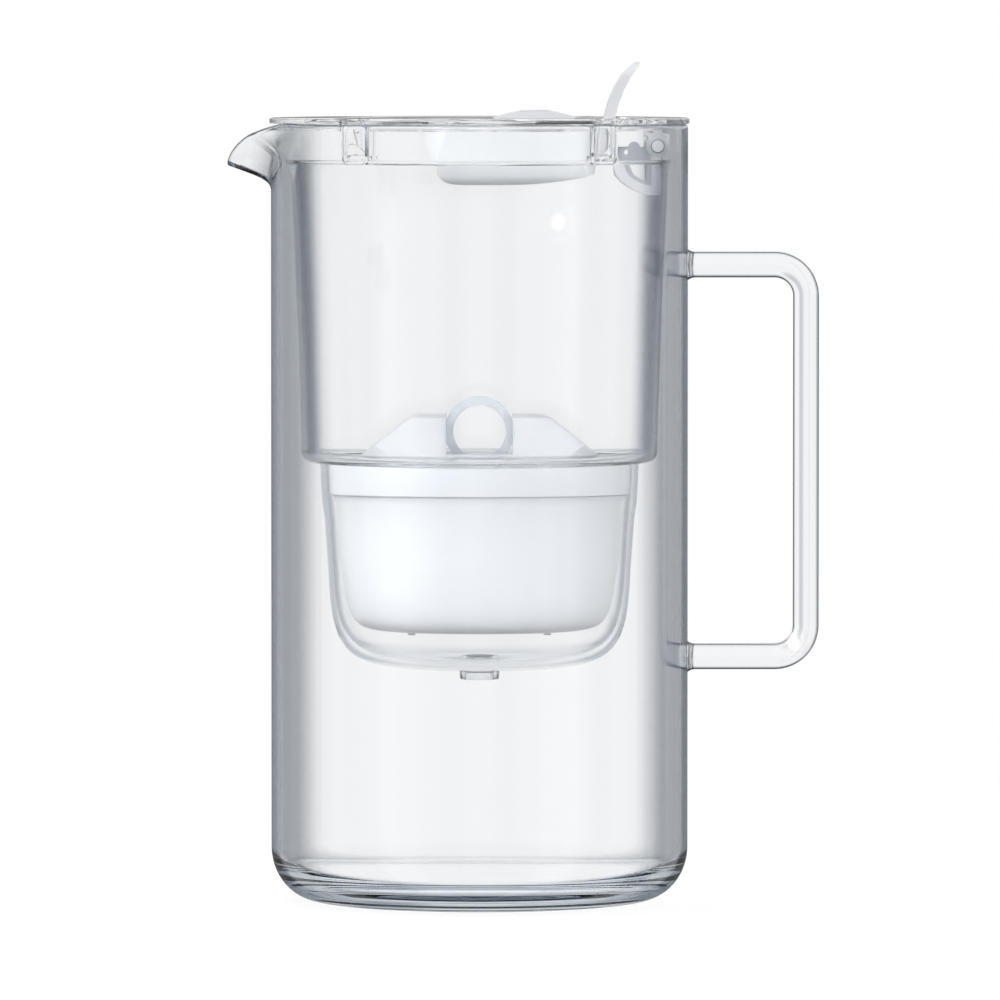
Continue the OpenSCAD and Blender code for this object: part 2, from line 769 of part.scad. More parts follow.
// Low dome round the button, with a spigot in the flap's hole
module indicator_dome() {
    sphere_r = (dome_r * dome_r + dome_h * dome_h) / (2 * dome_h);
    start = asin(dome_r / sphere_r);
    hole_r = button_r + button_gap;
    stop = asin((hole_r + 0.1) / sphere_r);
    color([0.9, 0.94, 0.96, 0.5]) translate([dome_x, 0, 0]) rotate_extrude() polygon(concat(
        [[hole_r, lid_top_z - 1.6], [seat_hole_r, lid_top_z - 1.6], [seat_hole_r, lid_top_z],
            [dome_r, lid_top_z]],
        [for (i = [1:8]) let (a = start + (stop - start) * i / 8)
            [sphere_r * sin(a), lid_top_z + dome_h - sphere_r * (1 - cos(a))]],
        [[hole_r, lid_top_z + dome_h - 0.5]]
    ));
}

module indicator_button() {
    top = lid_top_z + dome_h;
    color([0.9, 0.93, 0.95]) translate([dome_x, 0, 0]) rotate_extrude() polygon(concat(
        [[0, lid_z - 0.2], [1.8, lid_z - 0.2], [1.8, lid_top_z - 0.6], [button_r - 0.7, lid_top_z - 0.6]],
        arc(button_r - 1.2, lid_top_z + dome_h / 2 - 0.2, 1.2, dome_h / 2 + 0.1, -60, 90, 6),
        [[3, top - 0.5], [0, top - 0.6]]
    ));
}

// Elastic boot that keeps water out round the button's stem
module button_boot() {
    color([0.78, 0.8, 0.82]) translate([dome_x, 0, 0]) rotate_extrude() polygon([
        [1.85, 263.5], [2.9, 263.5], [2.9, 263.9], [7.2, 264.1], [9.4, 264.1], [9.4, lid_z],
        [6.6, lid_z], [2.6, 264.35], [1.85, 264.35]
    ]);
}

module circuit_board() {
    color([0.16, 0.42, 0.3]) difference() {
        translate([12, 0, board_z]) linear_extrude(height = board_t) stadium(50, 20);
        for (x = boss_x) translate([x, 0, board_z - 1]) cylinder(r = 1.2, h = 4);
    }
}

module board_screws() {
    color([0.6, 0.62, 0.65]) for (x = boss_x) translate([x, 0, board_z + board_t]) {
        cylinder(r1 = 1.9, r2 = 1.5, h = 1);
        translate([0, 0, -6]) cylinder(r = 0.9, h = 6);
    }
}

module push_switch() {
    color([0.2, 0.2, 0.22]) translate([dome_x, 0, board_z + board_t]) {
        translate([-3, -3, 0]) cube([6, 6, 2.2]);
        translate([0, 0, 2.2]) cylinder(r = 1.6, h = 0.8);
    }
}

// Small lights under the dome's clear rim
module status_lights() {
    color([0.85, 0.9, 0.8]) for (a = [60, 180, 300]) translate([dome_x, 0, board_z + board_t])
        rotate(a) translate([8, -0.8, 0]) cube([1.6, 1.6, 1]);
}

module coin_cell() {
    color([0.72, 0.73, 0.75]) translate([cell_x, 0, cell_z]) rotate_extrude() polygon([
        [0, 0], [cell_r - 1.4, 0], [cell_r - 1.1, 0.5], [cell_r - 0.3, 0.6], [cell_r, 0.9],
        [cell_r, cell_t], [0, cell_t]
    ]);
}

// Spring strips above and below the cell
module cell_contacts() {
    color([0.8, 0.76, 0.6]) {
        across(5) polygon([[cell_x - 6, board_z], [cell_x - 1.2, cell_z + cell_t],
            [cell_x + 1.2, cell_z + cell_t], [cell_x + 6, board_z], [cell_x + 5.2, board_z],
            [cell_x + 1, cell_z + cell_t + 0.4], [cell_x - 1, cell_z + cell_t + 0.4],
            [cell_x - 5.2, board_z]]);
        across(4) polygon([[cell_x - 14, board_z], [cell_x - 13.5, board_z], [cell_x - 13.5, cell_z],
            [cell_x + 4, cell_z], [cell_x + 4, cell_z - 0.5], [cell_x - 14, cell_z - 0.5]]);
    }
}

// ------------------------------------------------------------------------------------ assembly

glass_jug();
glass_handle();
funnel();
cartridge_body();
cartridge_cap();
inlet_screens();
filter_media();
outlet_screen();
lid_disc();
hinge_pins();
flap_panel();
thumb_lever();
indicator_housing();
housing_seal();
indicator_dome();
button_boot();
circuit_board();
board_screws();
push_switch();
status_lights();
coin_cell();
cell_contacts();
indicator_button();
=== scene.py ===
"""Dressed model of a glass water filter pitcher with a flip lid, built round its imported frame.

Sizes are written in millimetres and become metres where a mesh is made. The origin is the middle
of the base, +Z is up, +X points to the handle and -X to the spout.
"""

import logging
import math
from abc import ABC, abstractmethod
from collections.abc import Iterable, Sequence
from dataclasses import dataclass
from enum import Enum

import bmesh
import bpy
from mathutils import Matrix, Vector

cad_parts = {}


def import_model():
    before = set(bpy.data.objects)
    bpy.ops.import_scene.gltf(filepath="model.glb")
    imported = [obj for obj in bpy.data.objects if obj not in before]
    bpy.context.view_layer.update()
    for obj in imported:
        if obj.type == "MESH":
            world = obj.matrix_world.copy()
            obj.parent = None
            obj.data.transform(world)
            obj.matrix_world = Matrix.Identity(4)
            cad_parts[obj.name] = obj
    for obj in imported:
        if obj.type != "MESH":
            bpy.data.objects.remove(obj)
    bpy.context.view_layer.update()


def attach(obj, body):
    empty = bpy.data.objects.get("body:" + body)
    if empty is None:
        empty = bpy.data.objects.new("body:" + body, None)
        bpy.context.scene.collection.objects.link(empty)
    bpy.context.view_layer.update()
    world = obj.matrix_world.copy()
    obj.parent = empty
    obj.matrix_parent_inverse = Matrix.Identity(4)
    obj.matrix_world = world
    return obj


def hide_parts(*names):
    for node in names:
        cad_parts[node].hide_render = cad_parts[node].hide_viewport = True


MM = 0.001
LOG = logging.getLogger("pitcher")

# Copies of nodes: points this near are one, and faces this flat are one. Angles are in degrees.
MERGE_REACH = 0.002
FLAT_ANGLE = 1.0
SOFT_EDGE_ANGLE = 30.0
CORNER_STEPS = 6

# How level a face is, as the upright part of its normal: where the painted edge shade begins and ends to
# leave it, and where it loses its waves. The last is the share of the painted edge shade in a calm zone.
LEVEL_FROM = 0.8
LEVEL_TO = 0.97
STILL_FROM = 0.9
CALM_SHARE = 0.3

# A point or a pair of sizes, a colour, one ring of a skin, a place with its level, and a ring mask.
Point2 = tuple[float, float]
Colour = tuple[float, float, float]
Ring = list[Vector]
Stop = tuple[float, float]
Collar = tuple[float, float, float, float]


class Body(Enum):
    """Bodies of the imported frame."""

    JUG = "jug"
    FUNNEL = "funnel"
    CARTRIDGE = "cartridge"
    LID = "lid"
    FLAP = "flap"
    BUTTON = "button"


class Join(Enum):
    """Ways to join two closed meshes."""

    ADD = "UNION"
    CUT = "DIFFERENCE"


# ------------------------------------------------------------------------------- points and rings


def arc(
    cx: float, cy: float, rx: float, ry: float, start: float, stop: float, steps: int
) -> list[Point2]:
    """Points of an ellipse's arc.

    Args:
        cx: Centre, first coordinate.
        cy: Centre, second coordinate.
        rx: Half width.
        ry: Half height.
        start: First angle in degrees.
        stop: Last angle in degrees.
        steps: Number of steps between them.

    Returns:
        The points, both ends included.
    """
    angles = [math.radians(start + (stop - start) * i / steps) for i in range(steps + 1)]
    return [(cx + rx * math.cos(a), cy + ry * math.sin(a)) for a in angles]


def bezier(controls: Sequence[Vector], t: float) -> Vector:
    """Point of a cubic curve.

    Args:
        controls: Its four control points.
        t: Place along the curve, from 0 to 1.

    Returns:
        The point.
    """
    a, b, c, d = controls
    u = 1.0 - t
    return a * u**3 + b * (3 * u * u * t) + c * (3 * u * t * t) + d * t**3


def curved(controls: Sequence[Point2], steps: int) -> list[Point2]:
    """Points along a flat cubic curve.

    Args:
        controls: Its four control points.
        steps: Number of steps.

    Returns:
        The points, both ends included.
    """
    flat = [Vector((x, y, 0.0)) for x, y in controls]
    points = [bezier(flat, i / steps) for i in range(steps + 1)]
    return [(p.x, p.y) for p in points]


def ease(value: float, low: float, high: float) -> float:
    """Smooth step from 0 at low to 1 at high."""
    t = min(1.0, max(0.0, (value - low) / (high - low)))
    return t * t * (3.0 - 2.0 * t)


def oval(a: float, b: float, z: float, columns: int) -> Ring:
    """Ring of an ellipse.

    Args:
        a: Its half width; the ring is a single point where this is 0.
        b: Its half depth.
        z: Its height.
        columns: Number of points.

    Returns:
        The ring.
    """
    if a == 0.0:
        return [Vector((0.0, 0.0, z))]
    turns = [2.0 * math.pi * i / columns for i in range(columns)]
    return [Vector((a * math.cos(t), b * math.sin(t), z)) for t in turns]


def turned(profile: Iterable[Point2], columns: int, ratio: float = 1.0) -> list[Ring]:
    """Rings of a turned shape, squeezed across by the ratio."""
    return [oval(r, r * ratio, z, columns) for r, z in profile]


# --------------------------------------------------------------------------------------- meshes


def skin(name: str, rings: Sequence[Ring], loop: bool = False) -> bpy.types.Object:
    """Joins rings of points into one closed piece whose faces point outwards.

    Args:
        name: Name of the piece.
        rings: Rings of equal length, or of one point where the surface ends in a pole.
        loop: True if the last ring joins the first.

    Returns:
        The new object, in metres.
    """
    bm = bmesh.new()
    rows = [[bm.verts.new(p * MM) for p in ring] for ring in rings]
    pairs = list(zip(rows, rows[1:]))
    if loop:
        pairs.append((rows[-1], rows[0]))
    for low, high in pairs:
        count = max(len(low), len(high))
        for i in range(count):
            j = (i + 1) % count
            if len(low) == 1:
                bm.faces.new((low[0], high[j], high[i]))
            elif len(high) == 1:
                bm.faces.new((low[i], low[j], high[0]))
            else:
                bm.faces.new((low[i], low[j], high[j], high[i]))
    return from_bmesh(name, bm)


def from_bmesh(name: str, bm: bmesh.types.BMesh) -> bpy.types.Object:
    """Turns a closed bmesh into an object in the scene, its faces outwards.

    Args:
        name: Name of the object.
        bm: The mesh, which is freed.

    Returns:
        The new object.
    """
    if bm.calc_volume(signed=True) < 0.0:
        bmesh.ops.reverse_faces(bm, faces=bm.faces)
    mesh = bpy.data.meshes.new(name)
    bm.to_mesh(mesh)
    bm.free()
    piece = bpy.data.objects.new(name, mesh)
    bpy.context.scene.collection.objects.link(piece)
    return piece


def apply_modifiers(piece: bpy.types.Object) -> None:
    """Replaces a piece's mesh by its evaluated one and removes the modifiers.

    Args:
        piece: The piece.
    """
    bpy.context.view_layer.update()
    graph = bpy.context.evaluated_depsgraph_get()
    mesh = bpy.data.meshes.new_from_object(piece.evaluated_get(graph))
    piece.modifiers.clear()
    old = piece.data
    piece.data = mesh
    bpy.data.meshes.remove(old)


def smooth(piece: bpy.types.Object, sharp: float = 32.0) -> None:
    """Shades a piece smooth, apart from edges sharper than the angle in degrees."""
    piece.data.shade_smooth()
    piece.data.set_sharp_from_angle(angle=math.radians(sharp))


def round_edges(piece: bpy.types.Object, width: float, angle: float, segments: int = 2) -> None:
    """Rounds a piece's sharp edges.

    Args:
        piece: The piece, whose mesh is changed.
        width: Width of the rounding in millimetres.
        angle: Edges that turn by more than this many degrees are rounded.
        segments: Number of faces across the rounding.
    """
    bevel = piece.modifiers.new("edges", "BEVEL")
    bevel.width = width * MM
    bevel.segments = segments
    bevel.limit_method = "ANGLE"
    bevel.angle_limit = math.radians(angle)
    bevel.use_clamp_overlap = True
    apply_modifiers(piece)


def combine(piece: bpy.types.Object, tool: bpy.types.Object, join: Join) -> None:
    """Adds or cuts a closed tool, which is then deleted.

    Args:
        piece: The piece, whose mesh is changed.
        tool: The other closed mesh.
        join: Whether the tool is added or cut away.
    """
    boolean = piece.modifiers.new("join", "BOOLEAN")
    boolean.operation = join.value
    boolean.solver = "EXACT"
    boolean.object = tool
    apply_modifiers(piece)
    mesh = tool.data
    bpy.data.objects.remove(tool)
    bpy.data.meshes.remove(mesh)


def merged_mesh(node: str) -> bmesh.types.BMesh:
    """Copies a node's mesh, with its loose triangles merged and its flat faces made whole.

    Args:
        node: Name of the node.

    Returns:
        The copy.
    """
    bm = bmesh.new()
    bm.from_mesh(bpy.data.objects[node].data)
    bmesh.ops.remove_doubles(bm, verts=bm.verts, dist=MERGE_REACH * MM)
    bmesh.ops.dissolve_limit(bm, angle_limit=math.radians(FLAT_ANGLE), verts=bm.verts, edges=bm.edges)
    return bm


def moulded_copy(name: str, node: str, edge: float) -> bpy.types.Object:
    """Copies a node's shape and rounds its edges.

    Args:
        name: Name of the new piece.
        node: The node whose shape it takes.
        edge: Width of the rounded edges in millimetres, or 0.

    Returns:
        The new object.
    """
    piece = from_bmesh(name, merged_mesh(node))
    if edge > 0.0:
        round_edges(piece, edge, SOFT_EDGE_ANGLE)
    smooth(piece)
    return piece


def plate(name: str, outline: Sequence[Point2], low: float, high: float) -> bpy.types.Object:
    """Prism of an outline in X and Y.

    Args:
        name: Name of the piece.
        outline: Points in order round the outline.
        low: Height of the underside.
        high: Height of the top.

    Returns:
        The new object.
    """
    bm = bmesh.new()
    under = [bm.verts.new(Vector((x, y, low)) * MM) for x, y in outline]
    over = [bm.verts.new(Vector((x, y, high)) * MM) for x, y in outline]
    bm.faces.new(under)
    bm.faces.new(over)
    for i in range(len(outline)):
        j = (i + 1) % len(outline)
        bm.faces.new((under[i], under[j], over[j], over[i]))
    bmesh.ops.recalc_face_normals(bm, faces=bm.faces)
    return from_bmesh(name, bm)


def rounded_outline(width: float, height: float, radius: float) -> list[Point2]:
    """Outline of a rectangle with round corners, its middle at the origin.

    Args:
        width: Its width.
        height: Its height.
        radius: Radius of its corners.

    Returns:
        The points in order.
    """
    x, y = width / 2 - radius, height / 2 - radius
    points: list[Point2] = []
    for quarter, (cx, cy) in enumerate(((x, y), (-x, y), (-x, -y), (x, -y))):
        points += arc(cx, cy, radius, radius, 90 * quarter, 90 * quarter + 90, CORNER_STEPS)
    return points


# -------------------------------------------------------------------------------- node trees


class Layout:
    """Short way to lay out the nodes of one tree."""

    def __init__(self, tree: bpy.types.NodeTree) -> None:
        """Keeps the tree that the nodes go into."""
        self.tree = tree

    def add(self, kind: str, props: dict | None = None, **inputs: object) -> bpy.types.Node:
        """Adds a node.

        Args:
            kind: Type of the node.
            props: Properties to set on it.
            **inputs: Values or sockets for its inputs, by name with _ for a space, or by i and number.

        Returns:
            The new node.
        """
        node = self.tree.nodes.new(kind)
        for key, value in (props or {}).items():
            setattr(node, key, value)
        for key, value in inputs.items():
            numbered = key[0] == "i" and key[1:].isdigit()
            socket = node.inputs[int(key[1:])] if numbered else node.inputs[key.replace("_", " ")]
            if isinstance(value, bpy.types.NodeSocket):
                self.tree.links.new(value, socket)
            else:
                socket.default_value = value
        return node

    def math(self, operation: str, first: object, second: object = 0.0) -> bpy.types.NodeSocket:
        """Adds a Math node in a shader or geometry tree and returns its result."""
        return self.add("ShaderNodeMath", {"operation": operation}, i0=first, i1=second).outputs[0]

    def blend(self, factor: object, first: object, second: object) -> bpy.types.NodeSocket:
        """Adds a colour mix and returns its result."""
        node = self.add("ShaderNodeMix", {"data_type": "RGBA"}, i0=factor, i6=first, i7=second)
        return node.outputs[2]

    def place(self) -> bpy.types.NodeSocket:
        """Adds the object coordinates and returns them."""
        return self.add("ShaderNodeTexCoord").outputs["Object"]

    def group(self, tree: bpy.types.NodeTree, **inputs: object) -> bpy.types.Node:
        """Adds a node group, with values or sockets for its named inputs."""
        return self.add("ShaderNodeGroup", {"node_tree": tree}, **inputs)

    def axis(self, vector: bpy.types.NodeSocket, number: int) -> bpy.types.NodeSocket:
        """Takes one coordinate out of a vector."""
        return self.add("ShaderNodeSeparateXYZ", Vector=vector).outputs[number]

    def rise(
        self, value: bpy.types.NodeSocket, low: float, high: float, start: float, stop: float
    ) -> bpy.types.NodeSocket:
        """Goes smoothly from one level to another as a value changes.

        Args:
            value: Socket that holds the value.
            low: Value at which the change begins.
            high: Value at which it ends.
            start: Level before the first value.
            stop: Level past the second one.

        Returns:
            Socket of the level.
        """
        return self.add(
            "ShaderNodeMapRange", {"interpolation_type": "SMOOTHSTEP"},
            Value=value, From_Min=low, From_Max=high, To_Min=start, To_Max=stop,
        ).outputs[0]

    def ramp(self, value: bpy.types.NodeSocket, stops: Sequence[Stop]) -> bpy.types.NodeSocket:
        """Maps a value through grey stops.

        Args:
            value: Socket that holds the value.
            stops: Position and grey level of each stop.

        Returns:
            The ramp's colour socket.
        """
        node = self.add("ShaderNodeValToRGB", i0=value)
        elements = node.color_ramp.elements
        while len(elements) < len(stops):
            elements.new(0.5)
        for element, (position, _) in zip(elements, stops):
            element.position = position
        for element, (_, level) in zip(elements, stops):
            element.color = (level, level, level, 1.0)
        return node.outputs[0]

    def collar(
        self, place: bpy.types.NodeSocket, x: float, z: float, inner: float, outer: float
    ) -> bpy.types.NodeSocket:
        """Mask of a ring round an axis along Y.

        Args:
            place: Socket of the object coordinates.
            x: The axis's distance along X in millimetres.
            z: The axis's height in millimetres.
            inner: The ring's inner radius in millimetres.
            outer: The ring's outer radius in millimetres.

        Returns:
            Socket of the mask.
        """
        moved = self.add(
            "ShaderNodeMapping", Vector=place, Location=(-x * MM, 0.0, -z * MM), Scale=(1.0, 0.0, 1.0)
        )
        reach = self.add("ShaderNodeVectorMath", {"operation": "LENGTH"}, i0=moved.outputs[0])
        middle = (inner + outer) / 2
        off = self.math("ABSOLUTE", self.math("SUBTRACT", reach.outputs["Value"], middle * MM))
        return self.math("LESS_THAN", off, (outer - middle) * MM)


def rgba(colour: Colour) -> tuple[float, float, float, float]:
    """Colour with full opacity."""
    return (*colour, 1.0)


def new_group(
    name: str, inputs: dict[str, float], outputs: dict[str, str]
) -> tuple[Layout, bpy.types.Node, bpy.types.Node]:
    """Starts a shader node group.

    Args:
        name: Name of the group.
        inputs: Number inputs and their defaults.
        outputs: Outputs and their socket types.

    Returns:
        The layout, the input node and the output node.
    """
    tree = bpy.data.node_groups.new(name, "ShaderNodeTree")
    for label, value in inputs.items():
        socket = tree.interface.new_socket(label, in_out="INPUT", socket_type="NodeSocketFloat")
        socket.default_value = value
    for label, kind in outputs.items():
        tree.interface.new_socket(label, in_out="OUTPUT", socket_type=kind)
    layout = Layout(tree)
    return layout, layout.add("NodeGroupInput"), layout.add("NodeGroupOutput")


class SurfaceEffects:
    """Shader node groups that the finishes share."""

    def __init__(self) -> None:
        """Builds each group once."""
        self.waves = self.build_waves()
        self.grain = self.build_grain()
        self.marks = self.build_marks()
        self.brush = self.build_brush()

    def build_waves(self) -> bpy.types.NodeTree:
        """Makes the slow waves of drawn glass, longer along Z than round it.

        Returns:
            The group.
        """
        inputs = {"Scale": 40.0, "Height": 0.05}
        lay, source, sink = new_group("drawn_waves", inputs, {"Normal": "NodeSocketVector"})
        place = lay.place()
        stretched = lay.add("ShaderNodeMapping", Vector=place, Scale=(1.0, 1.0, 0.22)).outputs[0]
        noise = lay.add("ShaderNodeTexNoise", Vector=stretched, Scale=source.outputs["Scale"], Detail=1.5)
        bump = lay.add(
            "ShaderNodeBump", Strength=source.outputs["Height"], Distance=0.001, Height=noise.outputs[0]
        )
        lay.tree.links.new(bump.outputs[0], sink.inputs["Normal"])
        return lay.tree

    def build_grain(self) -> bpy.types.NodeTree:
        """Makes the fine grain of a moulded surface, as a normal and a spread of roughness.

        Returns:
            The group.
        """
        inputs = {"Scale": 900.0, "Height": 0.1, "Roughness": 0.35, "Spread": 0.08}
        outputs = {"Normal": "NodeSocketVector", "Roughness": "NodeSocketFloat"}
        lay, source, sink = new_group("mould_grain", inputs, outputs)
        place = lay.place()
        cells = lay.add("ShaderNodeTexVoronoi", Vector=place, Scale=source.outputs["Scale"])
        patches = lay.add("ShaderNodeTexNoise", Vector=place, Scale=38.0, Detail=3.0)
        height = lay.math("ADD", cells.outputs["Distance"], lay.math("MULTIPLY", patches.outputs[0], 0.6))
        bump = lay.add("ShaderNodeBump", Strength=source.outputs["Height"], Distance=0.0002, Height=height)
        swing = lay.math("SUBTRACT", patches.outputs[0], 0.5)
        swing = lay.math("MULTIPLY", swing, source.outputs["Spread"])
        lay.tree.links.new(bump.outputs[0], sink.inputs["Normal"])
        lay.tree.links.new(lay.math("ADD", source.outputs["Roughness"], swing), sink.inputs["Roughness"])
        return lay.tree

    def build_marks(self) -> bpy.types.NodeTree:
        """Makes the faint marks of handling and of dried water, as a mask.

        Returns:
            The group.
        """
        lay, source, sink = new_group("water_marks", {"Amount": 0.2}, {"Mask": "NodeSocketFloat"})
        place = lay.place()
        cloud = lay.add("ShaderNodeTexNoise", Vector=place, Scale=22.0, Detail=4.0, Roughness=0.6)
        spots = lay.add("ShaderNodeTexVoronoi", Vector=place, Scale=140.0, Randomness=1.0)
        soft = lay.ramp(cloud.outputs[0], [(0.45, 0.0), (0.75, 1.0)])
        rims = lay.ramp(spots.outputs["Distance"], [(0.1, 1.0), (0.28, 0.0)])
        both = lay.math("ADD", soft, lay.math("MULTIPLY", rims, 0.5))
        mask = lay.math("MULTIPLY", both, source.outputs["Amount"])
        lay.tree.links.new(mask, sink.inputs["Mask"])
        return lay.tree

    def build_brush(self) -> bpy.types.NodeTree:
        """Makes the fine lines of rolled metal along X, as a normal and a roughness.

        Returns:
            The group.
        """
        inputs = {"Scale": 300.0, "Height": 0.1, "Roughness": 0.3}
        outputs = {"Normal": "NodeSocketVector", "Roughness": "NodeSocketFloat"}
        lay, source, sink = new_group("rolled_lines", inputs, outputs)
        place = lay.place()
        stretched = lay.add("ShaderNodeMapping", Vector=place, Scale=(0.08, 1.0, 1.0)).outputs[0]
        noise = lay.add("ShaderNodeTexNoise", Vector=stretched, Scale=source.outputs["Scale"], Detail=3.0)
        bump = lay.add(
            "ShaderNodeBump", Strength=source.outputs["Height"], Distance=0.0002, Height=noise.outputs[0]
        )
        swing = lay.math("MULTIPLY", lay.math("SUBTRACT", noise.outputs[0], 0.5), 0.2)
        lay.tree.links.new(bump.outputs[0], sink.inputs["Normal"])
        lay.tree.links.new(lay.math("ADD", source.outputs["Roughness"], swing), sink.inputs["Roughness"])
        return lay.tree


# ----------------------------------------------------------------------------------- finishes


def start_material(name: str) -> tuple[bpy.types.Material, Layout]:
    """Starts a material with an empty node tree.

    Args:
        name: Name of the material.

    Returns:
        The material and its layout.
    """
    material = bpy.data.materials.new(name)
    material.use_nodes = True
    material.node_tree.nodes.clear()
    return material, Layout(material.node_tree)


@dataclass(frozen=True)
class Finish(ABC):
    """What every finish has: a name and a way to lay out its nodes.

    Attributes:
        name: Name of the material.
    """

    name: str

    def build(self, effects: SurfaceEffects) -> bpy.types.Material:
        """Builds the material.

        Args:
            effects: The shared node groups.

        Returns:
            The material.
        """
        material, lay = start_material(self.name)
        self.lay_out(lay, effects)
        return material

    @abstractmethod
    def lay_out(self, lay: Layout, effects: SurfaceEffects) -> None:
        """Lays out the nodes, from the coordinates to the output.

        Args:
            lay: The material's layout.
            effects: The shared node groups.
        """


@dataclass(frozen=True)
class ClearFinish(Finish):
    """Clear glass or clear plastic, with painted shade that darkens its colour where it is seen edge-on.

    Attributes:
        ior: How strongly it bends light.
        face: Its colour seen straight on.
        edge: Colour of the painted shade that it takes on where it is seen edge-on.
        edge_shade_stops: How edge-on a place is, and its share of the edge colour.
        wave_scale: Number of waves in a metre.
        wave_height: Strength of the waves.
        marks: Roughness of the marks on it.
        absorb: Colour that its thickness takes on.
        density: How fast its thickness takes it on, or 0.
        level_clear: How much of the edge colour its level faces lose.
        clearness: Share of the light that goes through.
        calm: Axis, and two places on it between which most of the edge colour fades.
        rim: A ring of painted shade in the edge colour, as a collar's x, z, inner and outer radius.
    """

    ior: float
    face: Colour
    edge: Colour
    edge_shade_stops: tuple[Stop, ...]
    wave_scale: float
    wave_height: float
    marks: float
    absorb: Colour = (1.0, 1.0, 1.0)
    density: float = 0.0
    level_clear: float = 0.0
    clearness: float = 1.0
    calm: tuple[int, float, float] | None = None
    rim: Collar | None = None

    def lay_out(self, lay: Layout, effects: SurfaceEffects) -> None:
        """Lays out the nodes, from the coordinates to the output.

        Args:
            lay: The material's layout.
            effects: The shared node groups.
        """
        # Painted shade: the colour goes towards the edge colour where the surface is seen edge-on.
        facing = lay.add("ShaderNodeLayerWeight", Blend=0.5).outputs["Facing"]
        mask = lay.ramp(facing, self.edge_shade_stops)
        normal = lay.add("ShaderNodeTexCoord").outputs["Normal"]
        upright = lay.math("ABSOLUTE", lay.axis(normal, 2))
        level = lay.rise(upright, LEVEL_FROM, LEVEL_TO, 1.0, 1.0 - self.level_clear)
        if self.calm is not None:
            axis, start, stop = self.calm
            fade = lay.add(
                "ShaderNodeMapRange", Value=lay.axis(lay.place(), axis),
                From_Min=start * MM, From_Max=stop * MM, To_Min=1.0, To_Max=CALM_SHARE,
            ).outputs[0]
            mask = lay.math("MULTIPLY", mask, fade)
        edge_shaded_tint = lay.blend(lay.math("MULTIPLY", mask, level), rgba(self.face), rgba(self.edge))
        # Painted shade: a ring in the edge colour round the collar's axis.
        if self.rim is not None:
            edge_shaded_tint = lay.blend(lay.collar(lay.place(), *self.rim), edge_shaded_tint, rgba(self.edge))
        waved = lay.math("SUBTRACT", 1.0, lay.math("GREATER_THAN", upright, STILL_FROM))
        height = lay.math("MULTIPLY", waved, self.wave_height)
        waves = lay.group(effects.waves, Scale=self.wave_scale, Height=height)
        marks = lay.group(effects.marks, Amount=self.marks)
        surface = lay.add(
            "ShaderNodeBsdfPrincipled",
            Base_Color=edge_shaded_tint,
            Roughness=marks.outputs["Mask"],
            IOR=self.ior,
            Transmission_Weight=self.clearness,
            Normal=waves.outputs["Normal"],
        )
        through = lay.add("ShaderNodeBsdfTransparent", Color=rgba(self.face))
        shadow = lay.add("ShaderNodeLightPath").outputs["Is Shadow Ray"]
        mixed = lay.add("ShaderNodeMixShader", i0=shadow, i1=surface.outputs[0], i2=through.outputs[0])
        sink = lay.add("ShaderNodeOutputMaterial", Surface=mixed.outputs[0])
        if self.density > 0.0:
            body = lay.add("ShaderNodeVolumeAbsorption", Color=rgba(self.absorb), Density=self.density)
            lay.tree.links.new(body.outputs[0], sink.inputs["Volume"])


@dataclass(frozen=True)
class MouldedFinish(Finish):
    """Opaque moulded plastic or rubber with a fine grain.

    Attributes:
        colour: Its main colour.
        shade: Its colour in slow, faint patches.
        roughness: Its mean roughness.
        grain_scale: Number of grains in a metre.
        grain_height: Strength of the grain.
        glow: Share of the light that spreads under the surface.
        rim: A ring of painted shade in its own tone, as a collar's x, z, inner and outer radius.
        shade_ring_tone: Tone of that ring.
        shade_ring_reach: How far from the middle plane the ring goes, in millimetres.
    """

    colour: Colour
    shade: Colour
    roughness: float
    grain_scale: float
    grain_height: float
    glow: float = 0.0
    rim: Collar | None = None
    shade_ring_tone: Colour = (0.12, 0.14, 0.17)
    shade_ring_reach: float = 100.0

    def lay_out(self, lay: Layout, effects: SurfaceEffects) -> None:
        """Lays out the nodes, from the coordinates to the output.

        Args:
            lay: The material's layout.
            effects: The shared node groups.
        """
        grain = lay.group(
            effects.grain, Scale=self.grain_scale, Height=self.grain_height, Roughness=self.roughness
        )
        place = lay.place()
        cloud = lay.add("ShaderNodeTexNoise", Vector=place, Scale=18.0, Detail=3.0)
        mask = lay.ramp(cloud.outputs[0], [(0.35, 0.0), (0.7, 1.0)])
        paint = lay.blend(mask, rgba(self.colour), rgba(self.shade))
        # Painted shade: a darker ring round the collar's axis, near the middle plane.
        if self.rim is not None:
            depth = lay.math("ABSOLUTE", lay.axis(place, 1))
            near = lay.math("LESS_THAN", depth, self.shade_ring_reach * MM)
            ring = lay.math("MULTIPLY", lay.collar(place, *self.rim), near)
            paint = lay.blend(ring, paint, rgba(self.shade_ring_tone))
        surface = lay.add(
            "ShaderNodeBsdfPrincipled",
            Base_Color=paint,
            Roughness=grain.outputs["Roughness"],
            Normal=grain.outputs["Normal"],
            Subsurface_Weight=self.glow,
            Subsurface_Scale=0.002,
        )
        lay.add("ShaderNodeOutputMaterial", Surface=surface.outputs[0])


